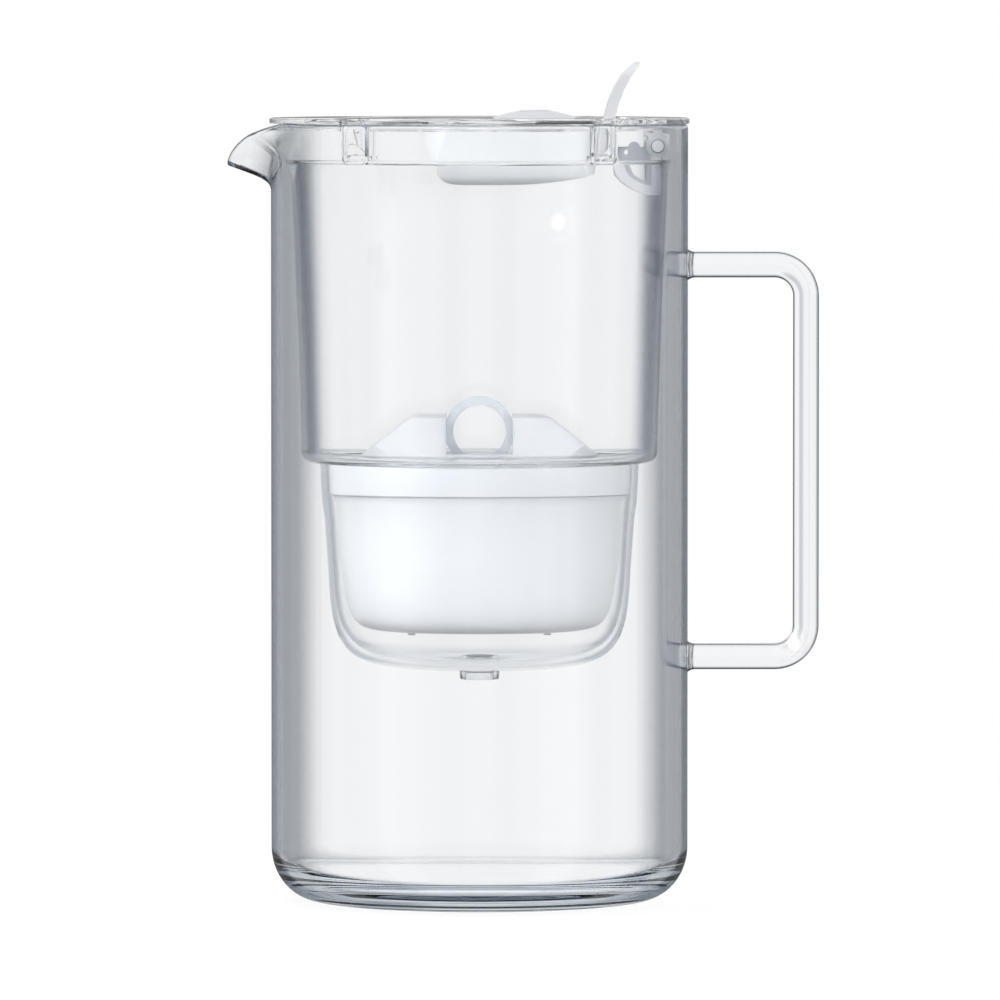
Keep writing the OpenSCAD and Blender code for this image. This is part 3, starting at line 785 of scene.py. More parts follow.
@dataclass(frozen=True)
class MetalFinish(Finish):
    """Rolled sheet metal.

    Attributes:
        colour: Its colour.
        roughness: Its mean roughness.
    """

    colour: Colour
    roughness: float

    def lay_out(self, lay: Layout, effects: SurfaceEffects) -> None:
        """Lays out the nodes, from the coordinates to the output.

        Args:
            lay: The material's layout.
            effects: The shared node groups.
        """
        brush = lay.group(effects.brush, Roughness=self.roughness)
        marks = lay.group(effects.marks)
        dull = tuple(0.7 * c for c in self.colour)
        surface = lay.add(
            "ShaderNodeBsdfPrincipled",
            Base_Color=lay.blend(marks.outputs["Mask"], rgba(self.colour), rgba(dull)),
            Metallic=1.0,
            Roughness=brush.outputs["Roughness"],
            Normal=brush.outputs["Normal"],
        )
        lay.add("ShaderNodeOutputMaterial", Surface=surface.outputs[0])


@dataclass(frozen=True)
class CellFinish(Finish):
    """Surface split into small cells of two colours, such as granules or woven wire.

    Attributes:
        first: Colour of most cells.
        second: Colour of the others.
        scale: Number of cells in a metre.
        height: Strength of their relief.
        roughness: Roughness of a clean cell.
    """

    first: Colour
    second: Colour
    scale: float
    height: float
    roughness: float

    def lay_out(self, lay: Layout, effects: SurfaceEffects) -> None:
        """Lays out the nodes, from the coordinates to the output.

        Args:
            lay: The material's layout.
            effects: The shared node groups.
        """
        place = lay.place()
        cells = lay.add("ShaderNodeTexVoronoi", Vector=place, Scale=self.scale)
        split = lay.add("ShaderNodeSeparateColor", Color=cells.outputs["Color"]).outputs[0]
        mask = lay.ramp(split, [(0.55, 0.0), (0.7, 1.0)])
        marks = lay.group(effects.marks)
        rough = lay.math("ADD", marks.outputs["Mask"], self.roughness)
        hollow = lay.math("SUBTRACT", 1.0, cells.outputs["Distance"])
        bump = lay.add("ShaderNodeBump", Strength=self.height, Distance=0.0006, Height=hollow)
        surface = lay.add(
            "ShaderNodeBsdfPrincipled",
            Base_Color=lay.blend(mask, rgba(self.first), rgba(self.second)),
            Roughness=rough,
            Normal=bump.outputs[0],
        )
        lay.add("ShaderNodeOutputMaterial", Surface=surface.outputs[0])


class Finishes:
    """Every finish of the pitcher, built once."""

    def __init__(self, effects: SurfaceEffects) -> None:
        """Builds the materials.

        Args:
            effects: The shared node groups.
        """
        # Pairs of how edge-on a place is, and its share of the painted edge shade.
        wall = (
            (0.25, 0.0), (0.34, 0.015), (0.375, 0.03), (0.392, 0.17), (0.43, 0.28),
            (0.475, 0.5), (0.53, 0.64), (0.59, 0.76), (0.66, 0.86), (0.73, 0.89), (0.775, 1.0),
        )
        rod = ((0.4, 0.0), (0.5, 0.45), (0.6, 0.95), (0.68, 1.0))
        frost = ((0.86, 0.0), (0.97, 1.0))
        thin = ((0.44, 0.0), (0.5, 0.09), (0.56, 0.3), (0.62, 0.75), (0.68, 0.95), (0.8, 1.0))
        self.glass = ClearFinish(
            "borosilicate", ior=1.47, face=(0.965, 0.97, 0.975), edge=(0.115, 0.148, 0.185),
            edge_shade_stops=wall, absorb=(0.55, 0.68, 0.8), density=3.0, wave_scale=30.0, wave_height=0.04,
            marks=0.02, level_clear=1.0, calm=(0, -72.0, -78.0),
        ).build(effects)
        self.rod_glass = ClearFinish(
            "rod_borosilicate", ior=1.47, face=(0.93, 0.94, 0.95), edge=(0.004, 0.01, 0.02), edge_shade_stops=rod,
            absorb=(0.6, 0.7, 0.78), density=8.0, wave_scale=60.0, wave_height=0.05, marks=0.02,
        ).build(effects)
        self.funnel_clear = ClearFinish(
            "funnel_clear", ior=1.36, face=(0.99, 0.992, 0.995), edge=(0.22, 0.26, 0.31), edge_shade_stops=thin,
            absorb=(0.6, 0.7, 0.78), density=2.5, wave_scale=45.0, wave_height=0.03, marks=0.02,
            level_clear=0.6, calm=(2, 251.0, 252.0),
        ).build(effects)
        self.lid_clear = ClearFinish(
            "lid_clear", ior=1.5, face=(0.99, 0.992, 0.995), edge=(0.45, 0.5, 0.55), edge_shade_stops=thin,
            wave_scale=70.0, wave_height=0.006, marks=0.02, level_clear=0.92,
        ).build(effects)
        # The cap's finger ring gets a ring of painted shade in its edge colour.
        self.cap_frosted = ClearFinish(
            "cap_frosted", ior=1.04, face=(0.81, 0.82, 0.835), edge=(0.7, 0.725, 0.755), edge_shade_stops=frost,
            absorb=(0.64, 0.67, 0.7), density=20.0, clearness=0.45, wave_scale=60.0, wave_height=0.03,
            marks=0.08, rim=(0.0, 159.8, 8.8, 12.0),
        ).build(effects)
        self.dome_pale = MouldedFinish(
            "dome_pale", (0.62, 0.64, 0.67), (0.59, 0.61, 0.64),
            roughness=0.12, grain_scale=900.0, grain_height=0.03,
        ).build(effects)
        self.cartridge_white = MouldedFinish(
            "cartridge_white", (0.87, 0.88, 0.89), (0.84, 0.85, 0.87),
            roughness=0.32, grain_scale=700.0, grain_height=0.08,
        ).build(effects)
        # Painted shade: a grey ring over the lever's web round its hinge.
        self.lever_white = MouldedFinish(
            "lever_white", (0.68, 0.69, 0.71), (0.66, 0.67, 0.69),
            roughness=0.3, grain_scale=1100.0, grain_height=0.08,
            rim=(60.2, 257.3, 3.0, 14.4), shade_ring_tone=(0.42, 0.44, 0.48), shade_ring_reach=6.9,
        ).build(effects)
        self.housing_white = MouldedFinish(
            "housing_white", (0.9, 0.91, 0.92), (0.87, 0.88, 0.9),
            roughness=0.4, grain_scale=800.0, grain_height=0.08,
        ).build(effects)
        # Painted shadow: a dark ring round the edge of each pin, where it sits in its lug.
        self.pin_plastic = MouldedFinish(
            "pin_plastic", (0.8, 0.81, 0.82), (0.76, 0.77, 0.79),
            roughness=0.35, grain_scale=1200.0, grain_height=0.06, rim=(60.2, 257.4, 1.95, 4.0),
        ).build(effects)
        self.silicone = MouldedFinish(
            "silicone", (0.62, 0.64, 0.66), (0.56, 0.58, 0.61),
            roughness=0.55, grain_scale=1500.0, grain_height=0.12, glow=0.2,
        ).build(effects)
        self.button_satin = MouldedFinish(
            "button_satin", (0.6, 0.63, 0.66), (0.56, 0.59, 0.62),
            roughness=0.25, grain_scale=1200.0, grain_height=0.05,
        ).build(effects)
        self.light_window = MouldedFinish(
            "light_window", (0.75, 0.82, 0.7), (0.7, 0.78, 0.66),
            roughness=0.2, grain_scale=1500.0, grain_height=0.04, glow=0.4,
        ).build(effects)
        self.switch_black = MouldedFinish(
            "switch_black", (0.03, 0.03, 0.035), (0.05, 0.05, 0.055),
            roughness=0.45, grain_scale=1400.0, grain_height=0.15,
        ).build(effects)
        self.steel = MetalFinish("screw_steel", (0.6, 0.61, 0.62), roughness=0.3).build(effects)
        self.cell_steel = MetalFinish("cell_steel", (0.72, 0.72, 0.71), roughness=0.22).build(effects)
        self.brass = MetalFinish("contact_brass", (0.78, 0.66, 0.38), roughness=0.28).build(effects)
        self.screen = CellFinish(
            "screen_weave", (0.6, 0.62, 0.64), (0.42, 0.44, 0.47), scale=1800.0, height=0.6, roughness=0.4
        ).build(effects)
        self.granules = CellFinish(
            "granules", (0.025, 0.027, 0.03), (0.62, 0.56, 0.42), scale=900.0, height=1.0, roughness=0.55
        ).build(effects)
        self.board_green = CellFinish(
            "board_green", (0.02, 0.16, 0.08), (0.03, 0.22, 0.11), scale=400.0, height=0.2, roughness=0.35
        ).build(effects)


# ------------------------------------------------------------------------------ shared actions


def settle(
    piece: bpy.types.Object, body: Body, finish: bpy.types.Material, nodes: Sequence[str]
) -> None:
    """Gives a finished piece its material and its body, and hides the nodes that it stands for.

    Args:
        piece: The finished piece.
        body: The body that it moves with.
        finish: Its material.
        nodes: The nodes that it replaces.
    """
    piece.data.materials.clear()
    piece.data.materials.append(finish)
    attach(piece, body.value)
    if nodes:
        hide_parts(*nodes)
    LOG.info("%s rides on %s, %d faces", piece.name, body.value, len(piece.data.polygons))


def dress(node: str, finish: bpy.types.Material) -> None:
    """Gives a node that is shown as it is a better material.

    Args:
        node: Name of the node.
        finish: The material.
    """
    for slot in bpy.data.objects[node].material_slots:
        slot.material = finish
    LOG.info("%s keeps its own shape", node)


def geometry_tree(name: str, inputs: dict[str, tuple[str, object]]) -> tuple[Layout, bpy.types.Node]:
    """Starts a geometry node tree with a geometry input and output.

    Args:
        name: Name of the tree.
        inputs: Socket type and default of each named input.

    Returns:
        The layout and the input node.
    """
    tree = bpy.data.node_groups.new(name, "GeometryNodeTree")
    tree.interface.new_socket("Geometry", in_out="INPUT", socket_type="NodeSocketGeometry")
    for label, (kind, value) in inputs.items():
        socket = tree.interface.new_socket(label, in_out="INPUT", socket_type=kind)
        if value is not None:
            socket.default_value = value
    tree.interface.new_socket("Geometry", in_out="OUTPUT", socket_type="NodeSocketGeometry")
    layout = Layout(tree)
    return layout, layout.add("NodeGroupInput")


def close_tree(lay: Layout, geometry: bpy.types.NodeSocket, finish: bpy.types.NodeSocket) -> None:
    """Ends a tree in Realize Instances and Set Material.

    Args:
        lay: The tree's layout.
        geometry: The last geometry socket.
        finish: The socket that holds the material.
    """
    real = lay.add("GeometryNodeRealizeInstances", Geometry=geometry)
    named = lay.add("GeometryNodeSetMaterial", Geometry=real.outputs[0], Material=finish)
    lay.add("NodeGroupOutput", i0=named.outputs[0])


def grow(piece: bpy.types.Object, tree: bpy.types.NodeTree, values: dict[str, object]) -> None:
    """Runs a geometry tree on a piece and keeps the result as its mesh.

    Args:
        piece: The piece that carries the tree.
        tree: The tree.
        values: Value of each named input.
    """
    modifier = piece.modifiers.new(tree.name, "NODES")
    modifier.node_group = tree
    for item in tree.interface.items_tree:
        if item.item_type == "SOCKET" and item.in_out == "INPUT" and item.name in values:
            modifier[item.identifier] = values[item.name]
    apply_modifiers(piece)


def row_tree(name: str) -> bpy.types.NodeTree:
    """Makes a tree that repeats its piece in a row along X, centred on the piece.

    Args:
        name: Name of the tree.

    Returns:
        The tree.
    """
    lay, source = geometry_tree(name, {
        "Count": ("NodeSocketInt", 3),
        "Step": ("NodeSocketFloat", 0.005),
        "Material": ("NodeSocketMaterial", None),
    })
    count = source.outputs["Count"]
    gaps = lay.math("SUBTRACT", count, 1.0)
    half = lay.math("MULTIPLY", gaps, lay.math("MULTIPLY", source.outputs["Step"], -0.5))
    start = lay.add("ShaderNodeCombineXYZ", X=half)
    step = lay.add("ShaderNodeCombineXYZ", X=source.outputs["Step"])
    line = lay.add(
        "GeometryNodeMeshLine", {"mode": "OFFSET"},
        Count=count, Start_Location=start.outputs[0], Offset=step.outputs[0],
    )
    copies = lay.add(
        "GeometryNodeInstanceOnPoints", Points=line.outputs[0], Instance=source.outputs["Geometry"]
    )
    close_tree(lay, copies.outputs[0], source.outputs["Material"])
    return lay.tree


# ----------------------------------------------------------------------------------- the jug


@dataclass
class Jug:
    """Glass jug with a thick bottom, a fire-polished rim and a drawn spout.

    Attributes:
        radius: Outer radius of the wall.
        wall: Its thickness.
        rim_z: Height of the rim.
        bottom: Thickness of the bottom.
        corner_w: Width of the round corner between underside and wall.
        corner_h: Its height.
        floor_fillet: Radius between the floor and the wall.
        spout_from_z: Height from which the columns may follow the spout.
        tip_reach: Distance of the spout's tip from the axis.
        tip_drop: How far the tip lies below the rim.
        throat_drop: How far below the rim the spout leaves the wall, under its tip.
        throat_top: How far below the rim it leaves the wall at its roots.
        throat_bend: Exponent of the line between the two.
        spout_lip: Thickness of the spout's lip.
        lip_gain: How much thicker the rest of the rim is.
        lip_zone: Angles from the spout between which the rim thickens.
        half_angle: Angle from the spout's tip to its roots.
        wall_heights: Heights of the rings on the straight wall.
        rows: Steps of a column above spout_from_z.
        lip_steps: Steps round the top of the glass.
        path_steps: Steps of the curve that a column follows on the spout.
        near_step: Degrees between the columns near the spout.
        near_side: Number of these columns on each side of the tip.
        far_steps: Steps between columns on the rest of the way round.
        smooth_rounds: Rounds of smoothing at the spout's roots.
        smooth_zone: Angles from the spout that the smoothing covers.
    """

    radius: float = 71.0
    wall: float = 2.5
    rim_z: float = 264.6
    bottom: float = 8.0
    corner_w: float = 16.1
    corner_h: float = 18.2
    floor_fillet: float = 10.0
    spout_from_z: float = 236.0
    tip_reach: float = 86.1
    tip_drop: float = 14.0
    throat_drop: float = 22.8
    throat_top: float = 3.0
    throat_bend: float = 1.2
    spout_lip: float = 1.9
    lip_gain: float = 0.9
    lip_zone: tuple[float, float] = (14.0, 26.0)
    half_angle: float = 23.7
    wall_heights: tuple[float, ...] = (40.0, 90.0, 140.0, 190.0, 225.0)
    rows: int = 30
    lip_steps: int = 8
    path_steps: int = 40
    near_step: float = 1.1
    near_side: int = 28
    far_steps: int = 150
    smooth_rounds: int = 26
    smooth_zone: tuple[float, float] = (14.0, 31.0)

    def columns(self) -> list[float]:
        """Places the columns, closer together round the spout.

        Returns:
            Angles measured from the spout, in degrees.
        """
        near = [i * self.near_step for i in range(-self.near_side, self.near_side + 1)]
        edge = near[-1]
        far = [edge + (360.0 - 2 * edge) * i / self.far_steps for i in range(1, self.far_steps)]
        return near + far

    def from_spout(self, angle: float) -> float:
        """Angle between a column and the spout, the same on both sides."""
        return min(angle % 360.0, -angle % 360.0)

    def lip(self, s: float) -> Vector:
        """Finds a place on the spout's lip.

        Args:
            s: How far along the lip, from the tip at 0 to its root at 1.

        Returns:
            The point.
        """
        a = math.radians(self.half_angle)
        root = self.radius - 0.3
        tip = Vector((-self.tip_reach, 0.0, self.rim_z - self.tip_drop))
        side = Vector((-self.tip_reach + 0.2, 6.5, self.rim_z - 9.3))
        flare = Vector((-self.tip_reach + 8.1, 17.0, self.rim_z))
        end = Vector((-root * math.cos(a), root * math.sin(a), self.rim_z - 0.2))
        return bezier((tip, side, flare, end), s)

    def foot(self, s: float) -> Vector:
        """Finds a place where the spout's surface leaves the wall.

        Args:
            s: How far along that line, from below the tip at 0 to the root at 1.

        Returns:
            The point.
        """
        a = math.radians(self.half_angle * s)
        climb = (self.throat_drop - self.throat_top) * s**self.throat_bend
        z = self.rim_z - self.throat_drop + climb
        return Vector((-self.radius * math.cos(a), self.radius * math.sin(a), z))

    def upper_column(self, angle: float, thick: float) -> list[Vector]:
        """Outer surface of one column from spout_from_z up to the lip.

        Args:
            angle: Angle from the spout, from 0 to 180 degrees.
            thick: Thickness of the glass at the lip.

        Returns:
            Evenly spaced points, the last one half a thickness short of the lip.
        """
        s = angle / self.half_angle
        a = math.radians(angle)
        start = Vector((-self.radius * math.cos(a), self.radius * math.sin(a), self.spout_from_z))
        if s < 1.0:
            foot, lip = self.foot(s), self.lip(s)
            reach = lip - foot
            up = Vector((0.0, 0.0, reach.length))
            controls = (foot, foot + 0.22 * up, foot + 0.33 * reach + 0.12 * up, lip)
            path = [start] + [bezier(controls, i / self.path_steps) for i in range(self.path_steps + 1)]
        else:
            path = [start, Vector((start.x, start.y, self.rim_z))]
        lengths = [0.0]
        for p, q in zip(path, path[1:]):
            lengths.append(lengths[-1] + (q - p).length)
        total = lengths[-1] - thick / 2
        points: list[Vector] = []
        k = 0
        for i in range(self.rows + 1):
            want = total * i / self.rows
            while lengths[k + 1] < want:
                k += 1
            t = (want - lengths[k]) / (lengths[k + 1] - lengths[k])
            points.append(path[k].lerp(path[k + 1], t))
        return points

    def outer_grid(self, angles: Sequence[float]) -> list[list[Vector]]:
        """Outer surface of every column above spout_from_z, its roots smoothed along the rim.

        Args:
            angles: Angles of the columns.

        Returns:
            One list of points for each column.
        """
        shifts = []
        for angle in angles:
            s = self.from_spout(angle)
            side = 1.0 if angle % 360.0 < 180.0 else -1.0
            column = []
            for p in self.upper_column(s, self.lip_thickness(s)):
                turn = math.degrees(math.atan2(p.y, -p.x))
                column.append(Vector((math.hypot(p.x, p.y) - self.radius, side * (turn - s), p.z)))
            shifts.append(column)
        count = len(angles)
        first, last = self.smooth_zone
        for _ in range(self.smooth_rounds):
            old = [[v.copy() for v in column] for column in shifts]
            for i, angle in enumerate(angles):
                if first < self.from_spout(angle) < last:
                    left, right = old[i - 1], old[(i + 1) % count]
                    shifts[i] = [(l + 2 * m + r) / 4 for l, m, r in zip(left, old[i], right)]
        grid = []
        for angle, column in zip(angles, shifts):
            points = []
            for v in column:
                a = math.radians(angle + v.y)
                r = self.radius + v.x
                points.append(Vector((-r * math.cos(a), r * math.sin(a), v.z)))
            grid.append(points)
        return grid

    def lip_thickness(self, s: float) -> float:
        """Thickness of the glass at the lip, for an angle from the spout in degrees."""
        return self.spout_lip + self.lip_gain * ease(s, *self.lip_zone)

    def inner_grid(
        self, angles: Sequence[float], outer: Sequence[list[Vector]]
    ) -> tuple[list[list[Vector]], list[list[Vector]]]:
        """Inner surface of every column, and the round top of the glass between the two surfaces.

        Args:
            angles: Angles of the columns.
            outer: Points of the outer surface, one list for each column.

        Returns:
            Points of the inner surface and of the top, one list for each column.
        """
        inner: list[list[Vector]] = []
        tops: list[list[Vector]] = []
        for i, column in enumerate(outer):
            lip_t = self.lip_thickness(self.from_spout(angles[i]))
            left, right = outer[i - 1], outer[(i + 1) % len(outer)]
            inside = []
            for j, p in enumerate(column):
                low, high = column[max(j - 1, 0)], column[min(j + 1, self.rows)]
                normal = (right[j] - left[j]).cross(high - low).normalized()
                if normal.dot(Vector((p.x, p.y, 0.0))) > 0.0:
                    normal = -normal
                share = j / self.rows
                thick = self.wall + (lip_t - self.wall) * ease(share, 0.3, 1.0)
                inside.append(p + normal * thick)
            inner.append(inside)
            middle = (column[-1] + inside[-1]) / 2
            across = (column[-1] - inside[-1]) / 2
            tangent = (column[-1] - column[-2]).normalized()
            tangent = (tangent - tangent.project(across)).normalized() * across.length
            turns = [math.pi * k / self.lip_steps for k in range(1, self.lip_steps)]
            tops.append([middle + across * math.cos(t) + tangent * math.sin(t) for t in turns])
        return inner, tops

    def rings(self) -> list[Ring]:
        """Lays out the whole jug, from the middle of the underside to the middle of the floor.

        Returns:
            Its rings in order.
        """
        angles = self.columns()
        outer = self.outer_grid(angles)
        inner, tops = self.inner_grid(angles, outer)
        bottom_r = self.radius - self.corner_w
        lower = [(30.0, 0.0), (bottom_r - 2.0, 0.0)]
        lower += arc(bottom_r, self.corner_h, self.corner_w, self.corner_h, -90, 0, 18)
        lower += [(self.radius, z) for z in self.wall_heights]
        rings: list[Ring] = [[Vector((0.0, 0.0, 0.0))]]
        rings += [self.ring(angles, r, z) for r, z in lower]
        rings += [[column[j] for column in outer] for j in range(self.rows + 1)]
        rings += [[top[k] for top in tops] for k in range(self.lip_steps - 1)]
        rings += [[column[j] for column in inner] for j in range(self.rows, -1, -1)]
        inner_r = self.radius - self.wall
        upper = [(inner_r, z) for z in reversed(self.wall_heights)]
        fillet = self.floor_fillet
        floor_r = inner_r - fillet
        upper += arc(floor_r, self.bottom + fillet, fillet, fillet, 0, -90, 20)
        upper += [(floor_r - 3.0, self.bottom), (25.0, self.bottom)]
        rings += [self.ring(angles, r, z) for r, z in upper]
        rings.append([Vector((0.0, 0.0, self.bottom))])
        return rings

    def ring(self, angles: Sequence[float], r: float, z: float) -> Ring:
        """Plain ring at the columns' angles."""
        turns = [math.radians(a) for a in angles]
        return [Vector((-r * math.cos(a), r * math.sin(a), z)) for a in turns]

    def build(self, finishes: Finishes) -> None:
        """Builds and dresses the jug.

        Args:
            finishes: The materials.
        """
        glass = skin("jug_glass", self.rings())
        smooth(glass, 50.0)
        settle(glass, Body.JUG, finishes.glass, ["glass_jug"])


@dataclass
class Handle:
    """Handle of one bent glass rod, fused to the wall at both ends.

    Attributes:
        rod_r: Radius of the rod.
        grip_x: Distance of the grip from the jug's axis.
        upper_z: Height of the upper arm.
        lower_z: Height of the lower arm.
        bend_r: Radius of the two bends.
        wall_r: Outer radius of the wall that the rod ends on.
        weld_l: Length of the flare at each end.
        weld_r: How much the rod widens there.
        weld_gap: Clearance that keeps the two glass surfaces apart.
        sunk: How far the rod reaches into the wall before its ends are laid on it.
    """

    rod_r: float = 4.4
    grip_x: float = 111.3
    upper_z: float = 216.6
    lower_z: float = 82.9
    bend_r: float = 10.7
    wall_r: float = 71.0
    weld_l: float = 2.6
    weld_r: float = 1.0
    weld_gap: float = 0.02
    sunk: float = 0.2

    def tree(self) -> bpy.types.NodeTree:
        """Makes the tree of a rod along a path with two bends, flared at both ends.

        Returns:
            The tree.
        """
        number = "NodeSocketFloat"
        lay, source = geometry_tree("bent_rod", {
            "Rod Radius": (number, self.rod_r * MM),
            "Start": (number, self.wall_r * MM),
            "Grip": (number, self.grip_x * MM),
            "Upper": (number, self.upper_z * MM),
            "Lower": (number, self.lower_z * MM),
            "Bend Radius": (number, self.bend_r * MM),
            "Weld Length": (number, self.weld_l * MM),
            "Weld Flare": (number, self.weld_r * MM),
            "Step": (number, 0.5 * MM),
            "Material": ("NodeSocketMaterial", None),
        })
        put = source.outputs
        corners = [("Start", "Upper"), ("Grip", "Upper"), ("Grip", "Lower"), ("Start", "Lower")]
        points = [lay.add("ShaderNodeCombineXYZ", X=put[x], Z=put[z]).outputs[0] for x, z in corners]
        path = lay.add(
            "GeometryNodeCurvePrimitiveQuadrilateral", {"mode": "POINTS"},
            Point_1=points[0], Point_2=points[1], Point_3=points[2], Point_4=points[3],
        )
        opened = lay.add("GeometryNodeSetSplineCyclic", Geometry=path.outputs[0], Cyclic=False)
        bent = lay.add(
            "GeometryNodeFilletCurve", {"mode": "POLY"},
            Curve=opened.outputs[0], Count=24, Radius=put["Bend Radius"], Limit_Radius=False,
        )
        fine = lay.add(
            "GeometryNodeResampleCurve", {"mode": "LENGTH"}, Curve=bent.outputs[0], Length=put["Step"]
        )
        along = lay.add("GeometryNodeSplineParameter").outputs["Length"]
        total = lay.add("GeometryNodeSplineLength").outputs["Length"]
        nearest = lay.math("MINIMUM", along, lay.math("SUBTRACT", total, along))
        rest = lay.math("SUBTRACT", 1.0, lay.math("DIVIDE", nearest, put["Weld Length"]))
        kept = lay.math("MAXIMUM", rest, 0.0)
        flare = lay.math("MULTIPLY", lay.math("POWER", kept, 1.8), put["Weld Flare"])
        radius = lay.math("ADD", put["Rod Radius"], flare)
        profile = lay.add("GeometryNodeCurvePrimitiveCircle", Resolution=40, Radius=1.0)
        swept = lay.add(
            "GeometryNodeCurveToMesh",
            Curve=fine.outputs[0], Profile_Curve=profile.outputs[0], Scale=radius, Fill_Caps=True,
        )
        close_tree(lay, swept.outputs[0], put["Material"])
        return lay.tree

    def build(self, finishes: Finishes) -> None:
        """Builds and dresses the handle.

        Args:
            finishes: The materials.
        """
        mesh = bpy.data.meshes.new("handle_rod")
        rod = bpy.data.objects.new("handle_rod", mesh)
        bpy.context.scene.collection.objects.link(rod)
        grow(rod, self.tree(), {"Start": (self.wall_r - self.sunk) * MM, "Material": finishes.rod_glass})
        reach = self.wall_r * MM
        for vertex in rod.data.vertices:
            if vertex.co.x < reach - self.sunk / 2 * MM:
                vertex.co.x = math.sqrt(reach * reach - vertex.co.y**2) + self.weld_gap * MM
        bm = bmesh.new()
        bm.from_mesh(rod.data)
        bmesh.ops.recalc_face_normals(bm, faces=bm.faces)
        bm.to_mesh(rod.data)
        bm.free()
        smooth(rod, 50.0)
        settle(rod, Body.JUG, finishes.rod_glass, ["glass_handle"])


# --------------------------------------------------------------------------------- the funnel


@dataclass
class Funnel:
    """Clear filling funnel: a round tank, an oval cup under it, and four hangers on the rim.

    Attributes:
        top_r: Outer radius of the tank at its top.
        low_r: Outer radius at its bottom.
        mid_r: Outer radius between them.
        rim_z: Height of its rim.
        floor_z: Height of the underside of its floor.
        floor_t: Thickness of the floor.
        wall: Thickness of the tank's wall.
        corner: Outer radius between wall and floor.
        ratio: Depth of the oval cup over its width.
        cup_a: Half width of the cup at the floor.
        cup_wall: Thickness of its wall.
        seat_z: Height of the seat of the cartridge's collar.
        tank_heights: Heights at which the top, middle and low radius hold.
        hook_angle: Angle between a hanger and the Y axis.
        glass_rim_z: Height of the glass rim that the hooks lie on.
        strap_z: Heights of a hanger's lower and upper end.
        strap_reach: Distances of its strap's faces from the axis.
        strap_w: Width of the strap.
        strap_corner: Radius of its corners.
        panel_reach: Distances between which a panel is cut out of the strap.
        panel_w: Width of the panel.
        panel_inset: How far it stays from the strap's ends.
        foot_reach: Distances of the faces of the foot on the tank.
        foot_w: Width of the foot.
        foot_z: Height of its top.
        hook_reach: Distances of the hook's faces.
        hook_w: Width of the hook.
        columns: Points of each ring.
    """

    top_r: float = 64.3
    low_r: float = 60.7
    mid_r: float = 62.2
    rim_z: float = 252.7
    floor_z: float = 149.5
    floor_t: float = 1.8
    wall: float = 1.6
    corner: float = 3.5
    ratio: float = 0.62
    cup_a: float = 54.4
    cup_wall: float = 2.0
    seat_z: float = 138.6
    tank_heights: tuple[float, float, float] = (248.0, 204.0, 157.0)
    hook_angle: float = 38.0
    glass_rim_z: float = 264.6
    strap_z: Point2 = (251.4, 266.1)
    strap_reach: Point2 = (65.6, 67.8)
    strap_w: float = 10.0
    strap_corner: float = 2.4
    panel_reach: Point2 = (67.3, 69.0)
    panel_w: float = 5.2
    panel_inset: float = 2.5
    foot_reach: Point2 = (62.9, 66.6)
    foot_w: float = 8.0
    foot_z: float = 254.3
    hook_reach: Point2 = (65.8, 70.9)
    hook_w: float = 6.7
    columns: int = 160

    def rings(self) -> list[Ring]:
        """Goes down the outside of the funnel, through its nozzle and up the inside to the rim.

        Returns:
            Its rings in order.
        """
        inner_ratio = (self.cup_a * self.ratio - self.cup_wall) / (self.cup_a - self.cup_wall)
        low_in = self.low_r - self.wall
        floor_in = self.floor_z + self.floor_t
        high_z, mid_z, low_z = self.tank_heights
        r = self.corner
        tank_out = [
            (self.top_r + 1.0, self.rim_z), (self.top_r + 1.0, self.rim_z - 0.9),
            (self.top_r + 0.2, self.rim_z - 1.5), (self.top_r, high_z),
            (self.mid_r, mid_z), (self.low_r, low_z),
        ]
        tank_out += arc(self.low_r - r, self.floor_z + r, r, r, 0, -90, 7)
        cup_out = [(self.cup_a, self.floor_z), (53.7, 136.0), (52.8, 129.7)]
        cup_out += curved([(51.6, 112.7), (50.4, 86.5), (47.5, 79.4), (20.0, 78.6)], 16)
        nozzle = [(6.85, 78.3), (6.6, 75.2), (5.0, 75.2), (5.0, 80.7)]
        cup_in = curved([(18.0, 80.9), (45.4, 81.6), (48.4, 88.5), (49.8, 112.7)], 16)
        cup_in += [(50.9, 129.7), (51.75, self.seat_z - 1.0), (self.cup_a - self.cup_wall, floor_in)]
        r = self.corner - 1.0
        tank_in = arc(low_in - r, floor_in + r, r, r, -90, 0, 6)
        tank_in += [
            (low_in, low_z), (self.mid_r - self.wall, mid_z), (self.top_r - self.wall, high_z),
            (self.top_r - self.wall + 0.1, self.rim_z),
        ]
        rings = turned(tank_out, self.columns)
        rings += turned(cup_out, self.columns, self.ratio)
        rings += turned(nozzle, self.columns)
        rings += turned(cup_in, self.columns, inner_ratio)
        rings += turned(tank_in, self.columns)
        return rings

    def hanger(self) -> bpy.types.Object:
        """Makes one hanger at the angle 0: a strap with a panel, a foot on the tank and a hook on the rim.

        Returns:
            The new object.
        """
        low, high = self.strap_z
        middle = (low + high) / 2
        face = rounded_outline(self.strap_w, high - low, self.strap_corner)
        strap = self.upright("strap", self.strap_reach, middle, face)
        recess = rounded_outline(self.panel_w, high - low - 2 * self.panel_inset, 1.0)
        combine(strap, self.upright("panel", self.panel_reach, middle, recess), Join.CUT)
        combine(strap, self.block("foot", self.foot_reach, self.foot_w, low, self.foot_z), Join.ADD)
        hook = self.block("hook", self.hook_reach, self.hook_w, self.glass_rim_z, high)
        combine(strap, hook, Join.ADD)
        round_edges(strap, 0.25, 40.0)
        return strap

